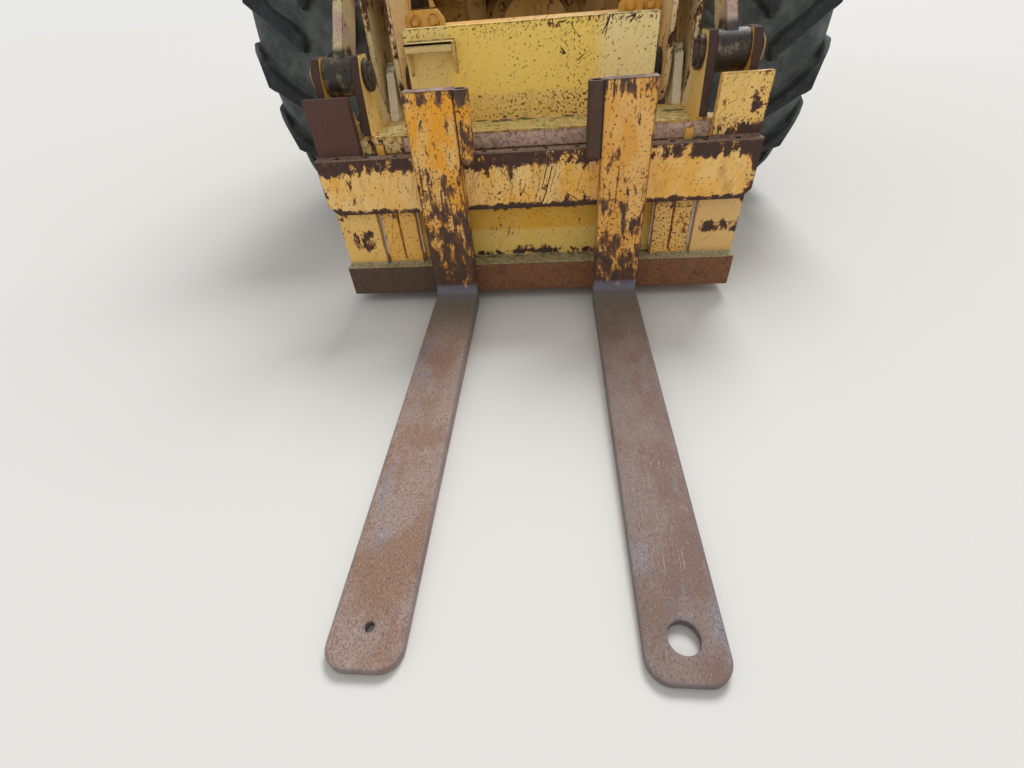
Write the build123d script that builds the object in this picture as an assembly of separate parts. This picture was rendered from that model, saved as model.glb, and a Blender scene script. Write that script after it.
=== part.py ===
from build123d import *
import math
import os

# Articulated wheel loader with pallet forks, in millimetres.
# X is across the machine (its left side at +X), Y runs to the rear, Z is up.
# Lengths below are measured from the front axle and from the ground.

# Wheels and axles
wheelbase = 3000
wheel_track = 1900
tyre_radius = 745
tyre_width = 545
tread_depth = 38
lug_count = 16
lug_gap = 10
lug_inner = 47
lug_outer = 84
lug_shoulder = 44
tyre_bead_radius = 322
rim_flange = 26
rim_half = 228
bead_seat = 23
rim_well_radius = 262
rim_offset = 60
hub_radius = 195
hub_length = 330
spindle_radius = 90
shaft_radius = 45
axle_tube_radius = 125
differential_radius = 250
axle_pad_top = 920
running_gap = 5
fit_gap = 0.5

# Articulation between the two frames
pivot_y = wheelbase / 2
pivot_radius = 45
pivot_low = 560
pivot_high = 1180
hinge_plate = 40
hinge_nose = 110

# Front frame and tower
frame_half = 292
frame_plate = 30
front_frame_back = pivot_y - 310
tower_outer_half = 600
tower_top = 2010
tower_lug = (396, 424)
arm_pivot = (560, 1700)
arm_pivot_radius = 45
arm_end_radius = 105

# Lift arms
arm_half = 498.75
arm_width = 97.5
arm_plate = 20
arm_nose_radius = 104
arm_tip = (-1080, 680)
arm_tip_radius = 40
cross_tube = (-960, 772)
cross_tube_radius = 70

# Tilt linkage
tilt_pin = (-1350, 742)
tilt_pin_radius = 32
link_length = 800
link_angle = 49.3
link_half = 590
link_thickness = 33
link_depth = 100
crank_arm = 250
crank_tube_radius = 58
crank_pin_radius = 35
outer_lever = 18.5
inner_lever = 32
link_pin_radius = 32

# Fork carriage and forks
fork_face = -1550
fork_length = 1260
fork_width = 150
fork_heel = 55
fork_tip = 15
fork_under = 5
fork_top = 716
fork_half = 292
fork_tip_round = 45
tip_hole_inset = 75
tip_hole_right = 20
tip_hole_left = 60
bar_half = 710
bar_thickness = 30
top_bar = (353, 533)
bottom_bar = (41.5, 151.5)
bottom_bar_depth = 120
hook_height = 60
hook_thickness = 22
sleeve_radius = 25
shelf_top = 580
shelf_front = -1434
shelf_back = -1180
ear_inner = (520, 545)
ear_outer = (645, 670)
hanger_half = 498.75
hanger_thickness = 30
centre_plate = (-1270, 570, 845)
centre_plate_half = 400

# Rear frame and what it carries
rear_frame_half = 360
rear_frame_front = pivot_y + 320
rear_frame_back = wheelbase + 1400
carrier_reach = 620
gearbox_front = pivot_y + 650
gearbox_back = wheelbase - 420
gearbox_half = rear_frame_half - 110
tank_inner = rear_frame_half + 270
tank_front = pivot_y + 300
tank_back = wheelbase - tyre_radius - 75
weight_back = wheelbase + 1850
weight_half = 1060
weight_low = 610
weight_high = 1330
rear_lamp = (700, 880, 1090, 1190)

# Cab
cab_half = 690
cab_low_half = 645
cab_floor = 1560
cab_roof_low = 3120
glass_top = cab_roof_low - 70
door_base = cab_floor + 20
roof_thickness = 130
cab_wall = 55
cab_corner = 50
cab_front_low = pivot_y + 60
cab_front_mid = pivot_y - 60
cab_front_top = pivot_y
cab_back = pivot_y + 1320
cab_waist = 1900
door_edge_front = pivot_y + 90
door_edge_back = pivot_y + 830
pillar_y = door_edge_front - 40
door_gap = 6
glass = 8

# Hood
hood_half = 640
hood_front = cab_back + 60
hood_back = wheelbase + 1720
hood_base = 1330
hood_top_front = 2240
hood_top_back = 2060
sheet = 25
exhaust_at = (330, hood_front + 420)
exhaust_radius = 62
intake_at = (-330, hood_front + 370)
intake_radius = 55
door_front = hood_front + 140
door_back = hood_front + 1240
door_low = 1580
door_high = 1930
knuckle = 10
vent_count = 7
vent_pitch = 54
engine_front = hood_front + 240
engine_half = rear_frame_half - 60

# Fenders
fender_inner = 690
fender_outer = 1235
fender_top = 1552
fender_sheet = 12
fender_lip = 35
headlamp_at = (840, 1690)
headlamp_radius = 85

# Cylinders
lift_cylinder_foot = (640, 665)
lift_cylinder_eye = (-330, 1215)
lift_barrel_radius = 72
lift_rod_radius = 38
lift_rod_left = 6
tilt_barrel_half = frame_half + 52
tilt_barrel_radius = 42
tilt_rod_radius = 28
tilt_rod_left = 190
steer_foot = (rear_frame_half + 130, pivot_y + 850)
steer_eye = (frame_half + 108, pivot_y - 420)
steer_height = 700
steer_barrel_radius = 42
steer_rod_radius = 24
steer_rod_left = 350
steer_lugs = ((650, 673), (727, 750))

axle_height = tyre_radius
front_reach = fork_length - fork_face
centre_y = (weight_back - front_reach) / 2
on_ground = Pos(0, -centre_y, 0)

nodes = {}


def add(name, *shapes):
    nodes.setdefault(name, []).extend(shapes)


def block(x, y, z):
    size = [b - a for a, b in (x, y, z)]
    return Pos(x[0], y[0], z[0]) * Box(*size, align=(Align.MIN, Align.MIN, Align.MIN))


def side_plate(outline, x, rounding=0):
    """A plate in a Y-Z outline, from x[0] to x[1]."""
    face = make_face(Plane.YZ * Polyline(*outline, close=True))
    if rounding:
        face = fillet(face.vertices(), rounding)
    return Pos(x[0], 0, 0) * extrude(face, x[1] - x[0], dir=(1, 0, 0))


def top_plate(outline, z, rounding=0):
    """A plate in an X-Y outline, from z[0] to z[1]."""
    face = make_face(Polyline(*outline, close=True))
    if rounding:
        face = fillet(face.vertices(), rounding)
    return Pos(0, 0, z[0]) * extrude(face, z[1] - z[0], dir=(0, 0, 1))


def bar_x(at, radius, x):
    """A round bar along X at at = (y, z)."""
    cylinder = Cylinder(radius, x[1] - x[0], align=(Align.CENTER, Align.CENTER, Align.MIN))
    return Pos(x[0], at[0], at[1]) * Rot(0, 90, 0) * cylinder


def bar_z(x, y, radius, z):
    return Pos(x, y, z[0]) * Cylinder(radius, z[1] - z[0], align=(Align.CENTER, Align.CENTER, Align.MIN))


def bar_y(x, z, radius, y):
    cylinder = Cylinder(radius, y[1] - y[0], align=(Align.CENTER, Align.CENTER, Align.MIN))
    return Pos(x, y[0], z) * Rot(-90, 0, 0) * cylinder


def both(shape):
    return [shape, mirror(shape, about=Plane.YZ)]


def along(start, distance, angle):
    turn = math.radians(angle)
    return (start[0] + distance * math.cos(turn), start[1] + distance * math.sin(turn))


def cylinder_pair(foot, eye, pin_direction, barrel_radius, rod_radius, stroke_in, eye_width):
    """Barrel and rod between two pins. stroke_in is how far the rod can still go in."""
    reach = math.dist(foot, eye)
    run = Vector(*eye) - Vector(*foot)
    at_foot = Plane(origin=foot, x_dir=pin_direction, z_dir=run)
    closed = reach - stroke_in
    eye_radius = rod_radius * 1.5
    neck = eye_radius + rod_radius * 0.3
    barrel_end = closed - neck - rod_radius * 0.4
    start = (Align.CENTER, Align.CENTER, Align.MIN)
    wall = barrel_radius * 0.16
    bore = barrel_radius - wall
    gland = rod_radius
    piston = rod_radius * 0.8
    pin_hole = Rot(0, 90, 0) * Cylinder(rod_radius * 0.8 + fit_gap, barrel_radius * 4)
    barrel = Pos(0, 0, neck) * Cylinder(barrel_radius, barrel_end - neck, align=start)
    barrel += Pos(0, 0, barrel_end - gland) * Cylinder(barrel_radius + wall * 0.5, gland, align=start)
    barrel -= Pos(0, 0, neck + wall * 2) * Cylinder(bore, barrel_end - neck - wall * 2 - gland, align=start)
    barrel -= Pos(0, 0, neck + wall * 2) * Cylinder(rod_radius + fit_gap, barrel_end, align=start)
    barrel += Rot(0, 90, 0) * Cylinder(eye_radius * 1.15, eye_width)
    barrel += Box(eye_width, eye_radius * 1.9, neck, align=start)
    barrel -= pin_hole
    rod_foot = reach - (barrel_end - neck - wall * 2 - fit_gap) - neck
    rod = Pos(0, 0, rod_foot) * Cylinder(rod_radius, reach - neck - rod_foot, align=start)
    rod += Pos(0, 0, rod_foot) * Cylinder(bore - fit_gap, piston, align=start)
    rod += Pos(0, 0, reach) * Rot(0, 90, 0) * Cylinder(eye_radius, eye_width * 0.8)
    rod += Pos(0, 0, reach - neck) * Box(eye_width * 0.8, eye_radius * 1.6, neck, align=start)
    rod -= Pos(0, 0, reach) * pin_hole
    return at_foot * barrel, at_foot * rod


# The pins of the tilt linkage follow from the parallelogram that keeps the forks level
lever = (tilt_pin[0] - arm_tip[0], tilt_pin[1] - arm_tip[1])
crank_pivot = along(arm_tip, link_length, link_angle)
link_pin = (crank_pivot[0] + lever[0], crank_pivot[1] + lever[1])
arm_angle = math.degrees(math.atan2(arm_pivot[1] - crank_pivot[1], arm_pivot[0] - crank_pivot[0]))
crank_end = along(crank_pivot, crank_arm, arm_angle + 90)
tower_pin = along(arm_pivot, crank_arm, arm_angle + 90)
arm_inner = arm_half - arm_width / 2
arm_outer = arm_half + arm_width / 2


def front_plate(outline, y):
    """A plate in an X-Z outline, from y[0] to y[1]."""
    face = make_face(Plane.XZ * Polyline(*outline, close=True))
    return Pos(0, y[0], 0) * extrude(face, y[1] - y[0], dir=(0, 1, 0))


def make_lug():
    """One lug at the top of the tyre. It leans back from the middle to the shoulder."""
    half = tyre_width / 2
    pitch = 2 * math.pi / lug_count
    # the tyre stands on the corners of neighbouring lugs, an eighth of a pitch to each side
    corner_radius = tyre_radius / math.cos(pitch / 8)
    corner_y = corner_radius * math.sin(pitch * 3 / 8)
    crown = corner_radius * math.cos(pitch * 3 / 8)
    foot = tyre_radius - tread_depth - 45
    edge = half - lug_shoulder
    lean = (2 * corner_y - (lug_inner + lug_outer) / 2) / (edge - lug_gap)
    widening = (lug_outer - lug_inner) / 2 / (edge - lug_gap)
    plan = []
    for x, side in ((0, -1), (0, 1), (half, 1), (half, -1)):
        middle = lug_inner / 2 - corner_y + lean * (x - lug_gap)
        plan.append((x, middle + side * (lug_inner / 2 + widening * (x - lug_gap))))
    profile = [
        (lug_gap, foot),
        (lug_gap, crown),
        (edge, crown),
        (half - 2, crown - 90),
        (half - 60, foot - 40),
    ]
    return front_plate(profile, (-tyre_radius, tyre_radius)) & top_plate(plan, (foot - 60, tyre_radius + 10))


def make_tyre():
    half = tyre_width / 2
    groove = tyre_radius - tread_depth
    above_flange = tyre_bead_radius + rim_flange + 6
    side = [
        (rim_half - bead_seat, tyre_bead_radius - 60),
        (rim_half - bead_seat, above_flange),
        (half, 540),
        (half - 60, groove),
    ]
    outline = side + [(-x, z) for x, z in reversed(side)]
    facets = 2 * lug_count
    wedge_top = tyre_radius + 55
    wedge_half = wedge_top * math.tan(math.pi / facets)
    wedge = side_plate([(0, 0), (wedge_half, wedge_top), (-wedge_half, wedge_top)], (-half, half))
    facet = front_plate(outline, (-80, 80)) & wedge
    carcass = Part() + [Rot(turn * 360 / facets, 0, 0) * facet for turn in range(facets)]
    pitch = 360 / lug_count
    lug = make_lug()
    other = Rot(pitch / 2, 0, 0) * mirror(lug, about=Plane.YZ)
    lugs = [Rot(turn * pitch, 0, 0) * shape for turn in range(lug_count) for shape in (lug, other)]
    bore = Rot(0, 90, 0) * Cylinder(tyre_bead_radius, 2 * tyre_width)
    return carcass + lugs - bore


def make_rim():
    bead = rim_half - bead_seat
    seat = tyre_bead_radius - fit_gap
    rim_outline = [
        (-rim_half, seat + rim_flange),
        (-bead - fit_gap, seat + rim_flange),
        (-bead - fit_gap, seat),
        (-120, seat - 12),
        (120, seat - 12),
        (bead + fit_gap, seat),
        (bead + fit_gap, seat + rim_flange),
        (rim_half, seat + rim_flange),
        (rim_half, seat - 30),
        (130, rim_well_radius + 10),
        (-130, rim_well_radius + 10),
        (-rim_half, seat - 30),
    ]
    rim = revolve(make_face(Plane.XZ * Polyline(*rim_outline, close=True)), Axis.X)
    disc = bar_x((0, 0), rim_well_radius + 14, (rim_offset - 12, rim_offset + 12))
    hub_out = rim_offset + 150
    hub = bar_x((0, 0), hub_radius, (hub_out - hub_length, hub_out))
    hub = chamfer(hub.edges().group_by(Axis.X)[-1], 30)
    bore = bar_x((0, 0), spindle_radius + fit_gap, (hub_out - hub_length - 1, rim_offset - 20))
    return rim + disc + hub - bore


def make_axle(y, cover_side):
    hub_inside = wheel_track / 2 + rim_offset + 150 - hub_length
    tube_end = hub_inside - running_gap
    at = (y, axle_height)
    axle = Pos(0, y, axle_height) * Sphere(differential_radius)
    axle &= block((-200, 200), (y - 260, y + 260), (axle_height - 260, axle_height + 260))
    axle += bar_x(at, axle_tube_radius, (-tube_end, tube_end))
    for radius, reach in ((225, 190), (165, 275)):
        cover = sorted((y, y + cover_side * reach))
        axle += bar_y(0, axle_height, radius, cover)
    nose = sorted((y, y - cover_side * differential_radius))
    axle += bar_y(0, axle_height, 95, nose)
    for side in (-1, 1):
        pad = sorted((side * (frame_half - frame_plate - 20), side * (frame_half + 45)))
        axle += block(pad, (y - 150, y + 150), (axle_height, axle_pad_top))
    for side in (-1, 1):
        start = (Align.CENTER, Align.CENTER, Align.MIN)
        cone = Cone(axle_tube_radius + 60, axle_tube_radius, 260, align=start)
        axle += Pos(side * 190, y, axle_height) * Rot(0, side * 90, 0) * cone
        inner = sorted((side * (tube_end - 45), side * tube_end))
        axle += bar_x(at, hub_radius, inner)
        spindle = sorted((side * tube_end, side * (wheel_track / 2 + rim_offset - 30)))
        axle += bar_x(at, spindle_radius, spindle)
    return axle


def make_forks():
    """One fork, at +X. Blade, shank and hook from one bent bar."""
    tip = fork_face - fork_length
    back = fork_face + fork_heel
    outline = [
        (tip, fork_under),
        (back, fork_under),
        (back, fork_top),
        (fork_face, fork_top),
        (fork_face, fork_under + fork_heel),
        (tip, fork_under + fork_tip),
    ]
    face = make_face(Plane.YZ * Polyline(*outline, close=True))
    heel = face.vertices().sort_by(Axis.Y)[-2:].sort_by(Axis.Z)[0]
    face = fillet(heel, fork_heel)
    width = (fork_half - fork_width / 2, fork_half + fork_width / 2)
    fork = Pos(width[0], 0, 0) * extrude(face, fork_width, dir=(1, 0, 0))
    corner_edges = fork.edges().filter_by(Axis.Z).group_by(Axis.Y)[0]
    fork = fillet(corner_edges, fork_tip_round)
    bar_back = back + bar_thickness
    hook_low = top_bar[1] + fit_gap
    hook = [
        (back - 1, hook_low),
        (bar_back + fit_gap, hook_low),
        (bar_back + fit_gap, hook_low - 45),
        (bar_back + hook_thickness, hook_low - 45),
        (bar_back + hook_thickness, hook_low + hook_height - 30),
        (bar_back, hook_low + hook_height),
        (back - 1, hook_low + hook_height),
    ]
    fork += side_plate(hook, width)
    sleeve_x = width[0] - sleeve_radius + 4
    sleeve_y = fork_face + 20
    fork += bar_z(sleeve_x, sleeve_y, sleeve_radius, (512, 715))
    fork -= bar_z(sleeve_x, sleeve_y, sleeve_radius - 9, (540, 720))
    return fork


def make_carriage():
    bar_front = fork_face + fork_heel
    bar_back = bar_front + bar_thickness
    whole = (-bar_half, bar_half)
    carriage = block(whole, (bar_front, bar_back), top_bar)
    low_corners = carriage.edges().filter_by(Axis.Y).group_by(Axis.Z)[0]
    carriage = chamfer(low_corners, 30)
    carriage += block(whole, (bar_front, bar_front + bottom_bar_depth), bottom_bar)
    # uprights behind the bars, then the bent sheet between them
    upright_back = bar_back + 25
    for side in (-1, 1):
        for low, high, z in ((560, 705, (150, 700)), (420, 545, (150, 480))):
            x = sorted((side * low, side * high))
            carriage += block(x, (bar_back, upright_back), z)
        seam = sorted((side * 480, side * 486))
        carriage -= block(seam, (bar_back, bar_back + 12), (bottom_bar[1] + 20, top_bar[0] - 5))
    carriage += block((-420, 420), (bar_back + 40, bar_back + 55), (120, 580))
    # shelf on top, a hollow box under the ears
    shelf = [
        (shelf_front, shelf_top - 50),
        (shelf_front, shelf_top),
        (shelf_back, shelf_top),
        (shelf_back, shelf_top - 110),
    ]
    shelf_half = ear_outer[1] + 2
    carriage += side_plate(shelf, (-shelf_half, shelf_half))
    for side in (-1, 1):
        swing = sorted((side * ear_inner[1], side * ear_outer[0]))
        carriage -= block(swing, (tilt_pin[0], shelf_back + 1), (shelf_top - 111, shelf_top + 1))
        for x in (ear_inner, ear_outer):
            spread = sorted((side * x[0], side * x[1]))
            ear = [
                (shelf_front, shelf_top - 5),
                (shelf_back, shelf_top - 5),
                (tilt_pin[0] + 62, tilt_pin[1]),
                (tilt_pin[0] + 40, tilt_pin[1] + 55),
                (tilt_pin[0] - 40, tilt_pin[1] + 55),
                (tilt_pin[0] - 62, tilt_pin[1] + 5),
            ]
            carriage += side_plate(ear, spread, 8)
        near = hanger_half - hanger_thickness / 2
        hang = sorted((side * near, side * (near + hanger_thickness)))
        hanger = [
            (shelf_back - 25, 470),
            (shelf_back - 25, shelf_top),
            (arm_tip[0] - 70, arm_tip[1] + 40),
            (arm_tip[0] - 30, arm_tip[1] + 68),
            (arm_tip[0] + 40, arm_tip[1] + 60),
            (arm_tip[0] + 68, arm_tip[1]),
            (arm_tip[0] + 50, arm_tip[1] - 55),
        ]
        carriage += side_plate(hanger, hang, 8)
        pin = sorted((side * (ear_inner[0] - 15), side * (ear_outer[1] + 20)))
        carriage += bar_x(tilt_pin, tilt_pin_radius, pin)
        web = sorted((side * ear_outer[0], side * ear_outer[1]))
        gusset = [
            (upright_back - 1, 160),
            (upright_back - 1, shelf_top - 20),
            (shelf_front, shelf_top - 20),
            (shelf_back - 10, shelf_top - 60),
            (upright_back + 60, 170),
        ]
        carriage += side_plate(gusset, web)
        inner_web = sorted((side * (hanger_half - 14), side * (hanger_half + 13)))
        carriage += side_plate(gusset, inner_web)
    bore = bar_x(arm_tip, arm_tip_radius + fit_gap, (-600, 600))
    carriage -= bore
    plate_y, plate_low, plate_high = centre_plate
    centre = [
        (plate_y, plate_low),
        (plate_y + 15, plate_low),
        (plate_y + 15, plate_high - 15),
        (plate_y + 60, plate_high - 5),
        (plate_y + 60, plate_high),
        (plate_y, plate_high),
    ]
    carriage += side_plate(centre, (-centre_plate_half, centre_plate_half))
    for x in (-330, -110, 110, 330):
        rib = [(plate_y + 14, plate_low), (plate_y + 14, plate_high - 80), (shelf_back - 5, shelf_top - 2)]
        carriage += side_plate(rib, (x - 6, x + 6))
    return carriage


def make_arms():
    outline = [
        (arm_tip[0] - arm_nose_radius, arm_tip[1]),
        (arm_tip[0] - 92, 960),
        (-1010, 1230),
        (-740, 1395),
        (-300, 1500),
        (arm_pivot[0], arm_pivot[1] + arm_end_radius),
        (arm_pivot[0], arm_pivot[1] - arm_end_radius),
        (-250, 1300),
        (-480, 1175),
        (-760, 1030),
        (-900, 860),
        (arm_tip[0] + arm_nose_radius, arm_tip[1]),
    ]
    inside = [
        (arm_tip[0] - arm_nose_radius + 20, 930),
        (arm_tip[0] - 72, 962),
        (-996, 1214),
        (-732, 1375),
        (-296, 1480),
        (arm_pivot[0] - 130, arm_pivot[1] + 50),
        (arm_pivot[0] - 130, arm_pivot[1] - 120),
        (-240, 1324),
        (-472, 1197),
        (-745, 1050),
        (-880, 930),
    ]
    face = make_face(Plane.YZ * Polyline(*outline, close=True))
    bends = face.vertices().filter_by(lambda v: arm_tip[0] - 95 < v.Y < -200 and v.Z > arm_tip[1] + 50)
    arm = Pos(arm_inner, 0, 0) * extrude(fillet(bends, 120), arm_width, dir=(1, 0, 0))
    arm += bar_x(arm_tip, arm_nose_radius, (arm_inner, arm_outer))
    arm += bar_x(arm_pivot, arm_end_radius, (arm_inner, arm_outer))
    for at, radius in ((lift_cylinder_eye, 60), ((lift_cylinder_eye[0] - 20, lift_cylinder_eye[1] + 60), 74)):
        arm += bar_x(at, radius, (arm_inner, arm_outer))
    hollow = (arm_inner + arm_plate, arm_outer - arm_plate)
    arm -= side_plate(inside, hollow)
    # open below as a fork round the hanger, and open under the lift cylinder's eye
    arm -= block(hollow, (arm_tip[0] - 200, arm_tip[0] + 250), (540, 940))
    arm -= block(hollow, (lift_cylinder_eye[0] - 110, lift_cylinder_eye[0] + 150), (1100, 1380))
    arm -= bar_x(arm_tip, arm_tip_radius + fit_gap, (0, 700))
    arm -= bar_x(arm_pivot, arm_pivot_radius + fit_gap, (0, 700))
    arm += bar_x(crank_pivot, crank_tube_radius + 22, (arm_inner, arm_outer))
    arm -= bar_x(crank_pivot, crank_tube_radius + fit_gap, (0, 700))
    arms = arm + mirror(arm, about=Plane.YZ)
    arms += bar_x(cross_tube, cross_tube_radius, (-arm_inner - 5, arm_inner + 5))
    return arms


def lever_plate(start, end, radius, x):
    plate = bar_x(start, radius, x) + bar_x(end, radius * 0.8, x)
    angle = math.atan2(end[1] - start[1], end[0] - start[0])
    normal = (-math.sin(angle), math.cos(angle))
    corners = [
        (start[0] + normal[0] * radius, start[1] + normal[1] * radius),
        (end[0] + normal[0] * radius * 0.8, end[1] + normal[1] * radius * 0.8),
        (end[0] - normal[0] * radius * 0.8, end[1] - normal[1] * radius * 0.8),
        (start[0] - normal[0] * radius, start[1] - normal[1] * radius),
    ]
    return plate + side_plate(corners, x)


def make_linkage():
    lever_x = (arm_outer + running_gap, arm_outer + running_gap + outer_lever)
    inner_x = (arm_inner - running_gap * 2 - inner_lever, arm_inner - running_gap * 2)
    crank = bar_x(crank_pivot, crank_tube_radius, (inner_x[0], lever_x[1]))
    crank += lever_plate(crank_pivot, link_pin, crank_tube_radius + 12, lever_x)
    crank += lever_plate(crank_pivot, crank_end, crank_tube_radius + 12, inner_x)
    crank += bar_x(crank_end, tilt_rod_radius * 1.3, (inner_x[0] - 16, inner_x[0] + 1))
    crank -= bar_x(crank_pivot, crank_pin_radius + fit_gap, (0, 700))
    crank -= bar_x(link_pin, link_pin_radius + fit_gap, (500, 700))
    add("bellcranks", *both(crank))
    shaft = bar_x(crank_pivot, crank_pin_radius, (inner_x[0] - 4, lever_x[1] + 0.5))
    shaft += bar_x(crank_pivot, crank_pin_radius + 14, (inner_x[0] - 12, inner_x[0] - 1))
    add("crank_pins", *both(shaft))
    link_x = (link_half - link_thickness / 2, link_half + link_thickness / 2)
    pin = bar_x(link_pin, link_pin_radius, (lever_x[0] + 1, link_x[1] + 2))
    pin += bar_x(link_pin, link_pin_radius + 12, (link_x[1] + 1, link_x[1] + 14))
    add("link_pins", *both(pin))
    link = lever_plate(tilt_pin, link_pin, link_depth / 2, link_x)
    link += bar_x(tilt_pin, link_depth / 2 + 4, (ear_inner[1] + 3, ear_outer[0] - 3))
    link += bar_x(link_pin, link_depth / 2, link_x)
    link -= bar_x(tilt_pin, tilt_pin_radius + fit_gap, (500, 700))
    link -= bar_x(link_pin, link_pin_radius + fit_gap, (500, 700))
    add("tilt_links", *both(link))
    hang_pin = bar_x(arm_tip, arm_tip_radius, (arm_inner - 22, arm_outer + 8))
    hang_pin += bar_x(arm_tip, arm_tip_radius + 16, (arm_inner - 16, arm_inner - 1))
    add("carriage_pins", *both(hang_pin))


def make_cylinders():
    foot = (arm_half, *lift_cylinder_foot)
    eye = (arm_half, *lift_cylinder_eye)
    barrel, rod = cylinder_pair(foot, eye, (1, 0, 0), lift_barrel_radius, lift_rod_radius, lift_rod_left, 42)
    add("lift_cylinder_barrels", *both(barrel))
    add("lift_cylinder_rods", *both(rod))
    foot = (tilt_barrel_half, *tower_pin)
    eye = (tilt_barrel_half, *crank_end)
    barrel, rod = cylinder_pair(foot, eye, (1, 0, 0), tilt_barrel_radius, tilt_rod_radius, tilt_rod_left, 88)
    add("tilt_cylinder_barrels", *both(barrel))
    add("tilt_cylinder_rods", *both(rod))
    for side, name in ((1, "left"), (-1, "right")):
        foot = (side * steer_foot[0], steer_foot[1], steer_height)
        eye = (side * steer_eye[0], steer_eye[1], steer_height)
        sizes = (steer_barrel_radius, steer_rod_radius, steer_rod_left, 40)
        barrel, rod = cylinder_pair(foot, eye, (0, 0, 1), *sizes)
        add(f"steer_cylinder_barrel_{name}", barrel)
        add(f"steer_cylinder_rod_{name}", rod)


def make_front_frame():
    outline = [
        (-330, axle_pad_top),
        (-330, 1140),
        (120, 1290),
        (330, 1540),
        (arm_pivot[0] - 160, tower_top),
        (arm_pivot[0] + 80, tower_top),
        (arm_pivot[0] + 145, arm_pivot[1] + 20),
        (740, 1260),
        (front_frame_back, 1250),
        (front_frame_back, 500),
        (700, 500),
        (420, 640),
        (230, axle_pad_top),
    ]
    inner = frame_half - frame_plate
    plate = side_plate(outline, (inner, frame_half))
    frame = plate + mirror(plate, about=Plane.YZ)
    wide = (-inner, inner)
    cross = [
        (front_frame_back - 30, front_frame_back, 500, 1250),
        (700, 725, 620, 1240),
        (-330, -305, 900, 1130),
        (arm_pivot[0], arm_pivot[0] + 25, 1250, tower_top - 30),
    ]
    for y0, y1, z0, z1 in cross:
        frame += block(wide, (y0, y1), (z0, z1))
    frame += block(wide, (-330, 250), (1100, 1120))
    back_plate = (arm_pivot[0] + 120, arm_pivot[0] + 145)
    cheek_low = arm_pivot[1] - 220
    cheek = [
        (arm_pivot[0] - 160, cheek_low),
        (arm_pivot[0] - 160, tower_top),
        (arm_pivot[0] + 80, tower_top),
        (back_plate[1], arm_pivot[1] + 20),
        (back_plate[1], cheek_low),
    ]
    foot_y, foot_z = lift_cylinder_foot
    pin_y, pin_z = tower_pin
    for side in (-1, 1):
        outer = sorted((side * (tower_outer_half - frame_plate), side * tower_outer_half))
        frame += side_plate(cheek, outer)
        reach = sorted((side * (frame_half - 1), side * fender_inner))
        frame += block(reach, back_plate, (1100, cheek_low + 20))
        across = sorted((side * (frame_half - 1), side * tower_outer_half))
        frame += block(across, back_plate, (cheek_low, arm_pivot[1] + 30))
        arm_pin = sorted((side * (inner - 10), side * (tower_outer_half + 12)))
        frame += bar_x(arm_pivot, arm_pivot_radius, arm_pin)
        # inner lug that carries the tilt cylinder's pin clear of the raised arm
        lug = [
            (pin_y - 45, pin_z - 45),
            (pin_y - 45, pin_z + 45),
            (pin_y + 127, pin_z + 60),
            (pin_y + 127, pin_z - 60),
        ]
        frame += side_plate(lug, sorted((side * tower_lug[0], side * tower_lug[1])), 15)
        tie = sorted((side * (frame_half - 1), side * tower_lug[1]))
        frame += block(tie, (pin_y + 75, pin_y + 126), (pin_z - 50, pin_z + 50))
        lug_pin = sorted((side * (inner - 10), side * (tower_lug[1] + 14)))
        frame += bar_x(tower_pin, tilt_rod_radius * 0.8, lug_pin)
        # brackets of the lift cylinder's foot and its pin
        for x0, x1 in ((390, 420), (578, 606)):
            bracket = [
                (foot_y - 60, foot_z - 70),
                (foot_y - 60, foot_z + 40),
                (foot_y, foot_z + 80),
                (foot_y + 60, foot_z + 75),
                (foot_y + 175, foot_z),
                (foot_y + 175, foot_z - 120),
                (foot_y, foot_z - 120),
            ]
            frame += side_plate(bracket, sorted((side * x0, side * x1)))
        rib = sorted((side * (frame_half - 1), side * 606))
        frame += block(rib, (foot_y + 140, foot_y + 175), (foot_z - 120, foot_z + 20))
        frame += bar_x(lift_cylinder_foot, lift_rod_radius * 0.8, sorted((side * 400, side * 612)))
        for z in steer_lugs:
            lug = [
                (side * (frame_half - 1), steer_eye[1] - 90),
                (side * (steer_eye[0] + 20), steer_eye[1] - 50),
                (side * (steer_eye[0] + 45), steer_eye[1]),
                (side * (steer_eye[0] + 20), steer_eye[1] + 50),
                (side * (frame_half - 1), steer_eye[1] + 90),
            ]
            frame += top_plate(lug, z)
        for y0, y1 in ((-150, -60), (60, 150)):
            pad = sorted((side * (inner - 20), side * (frame_half + 45)))
            frame += block(pad, (y0, y1), (axle_pad_top, axle_pad_top + 30))
    for z in (pivot_low, pivot_high):
        root = front_frame_back - 10
        nose = [(-250, root), (250, root), (hinge_nose, pivot_y), (-hinge_nose, pivot_y)]
        frame += top_plate(nose, (z - hinge_plate / 2, z + hinge_plate / 2))
        frame += bar_z(0, pivot_y, hinge_nose, (z - hinge_plate / 2, z + hinge_plate / 2))
    frame -= bar_z(0, pivot_y, pivot_radius + fit_gap, (400, 1400))
    frame -= bar_y(0, axle_height, shaft_radius + 35, (300, front_frame_back + 110))
    return frame


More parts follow.
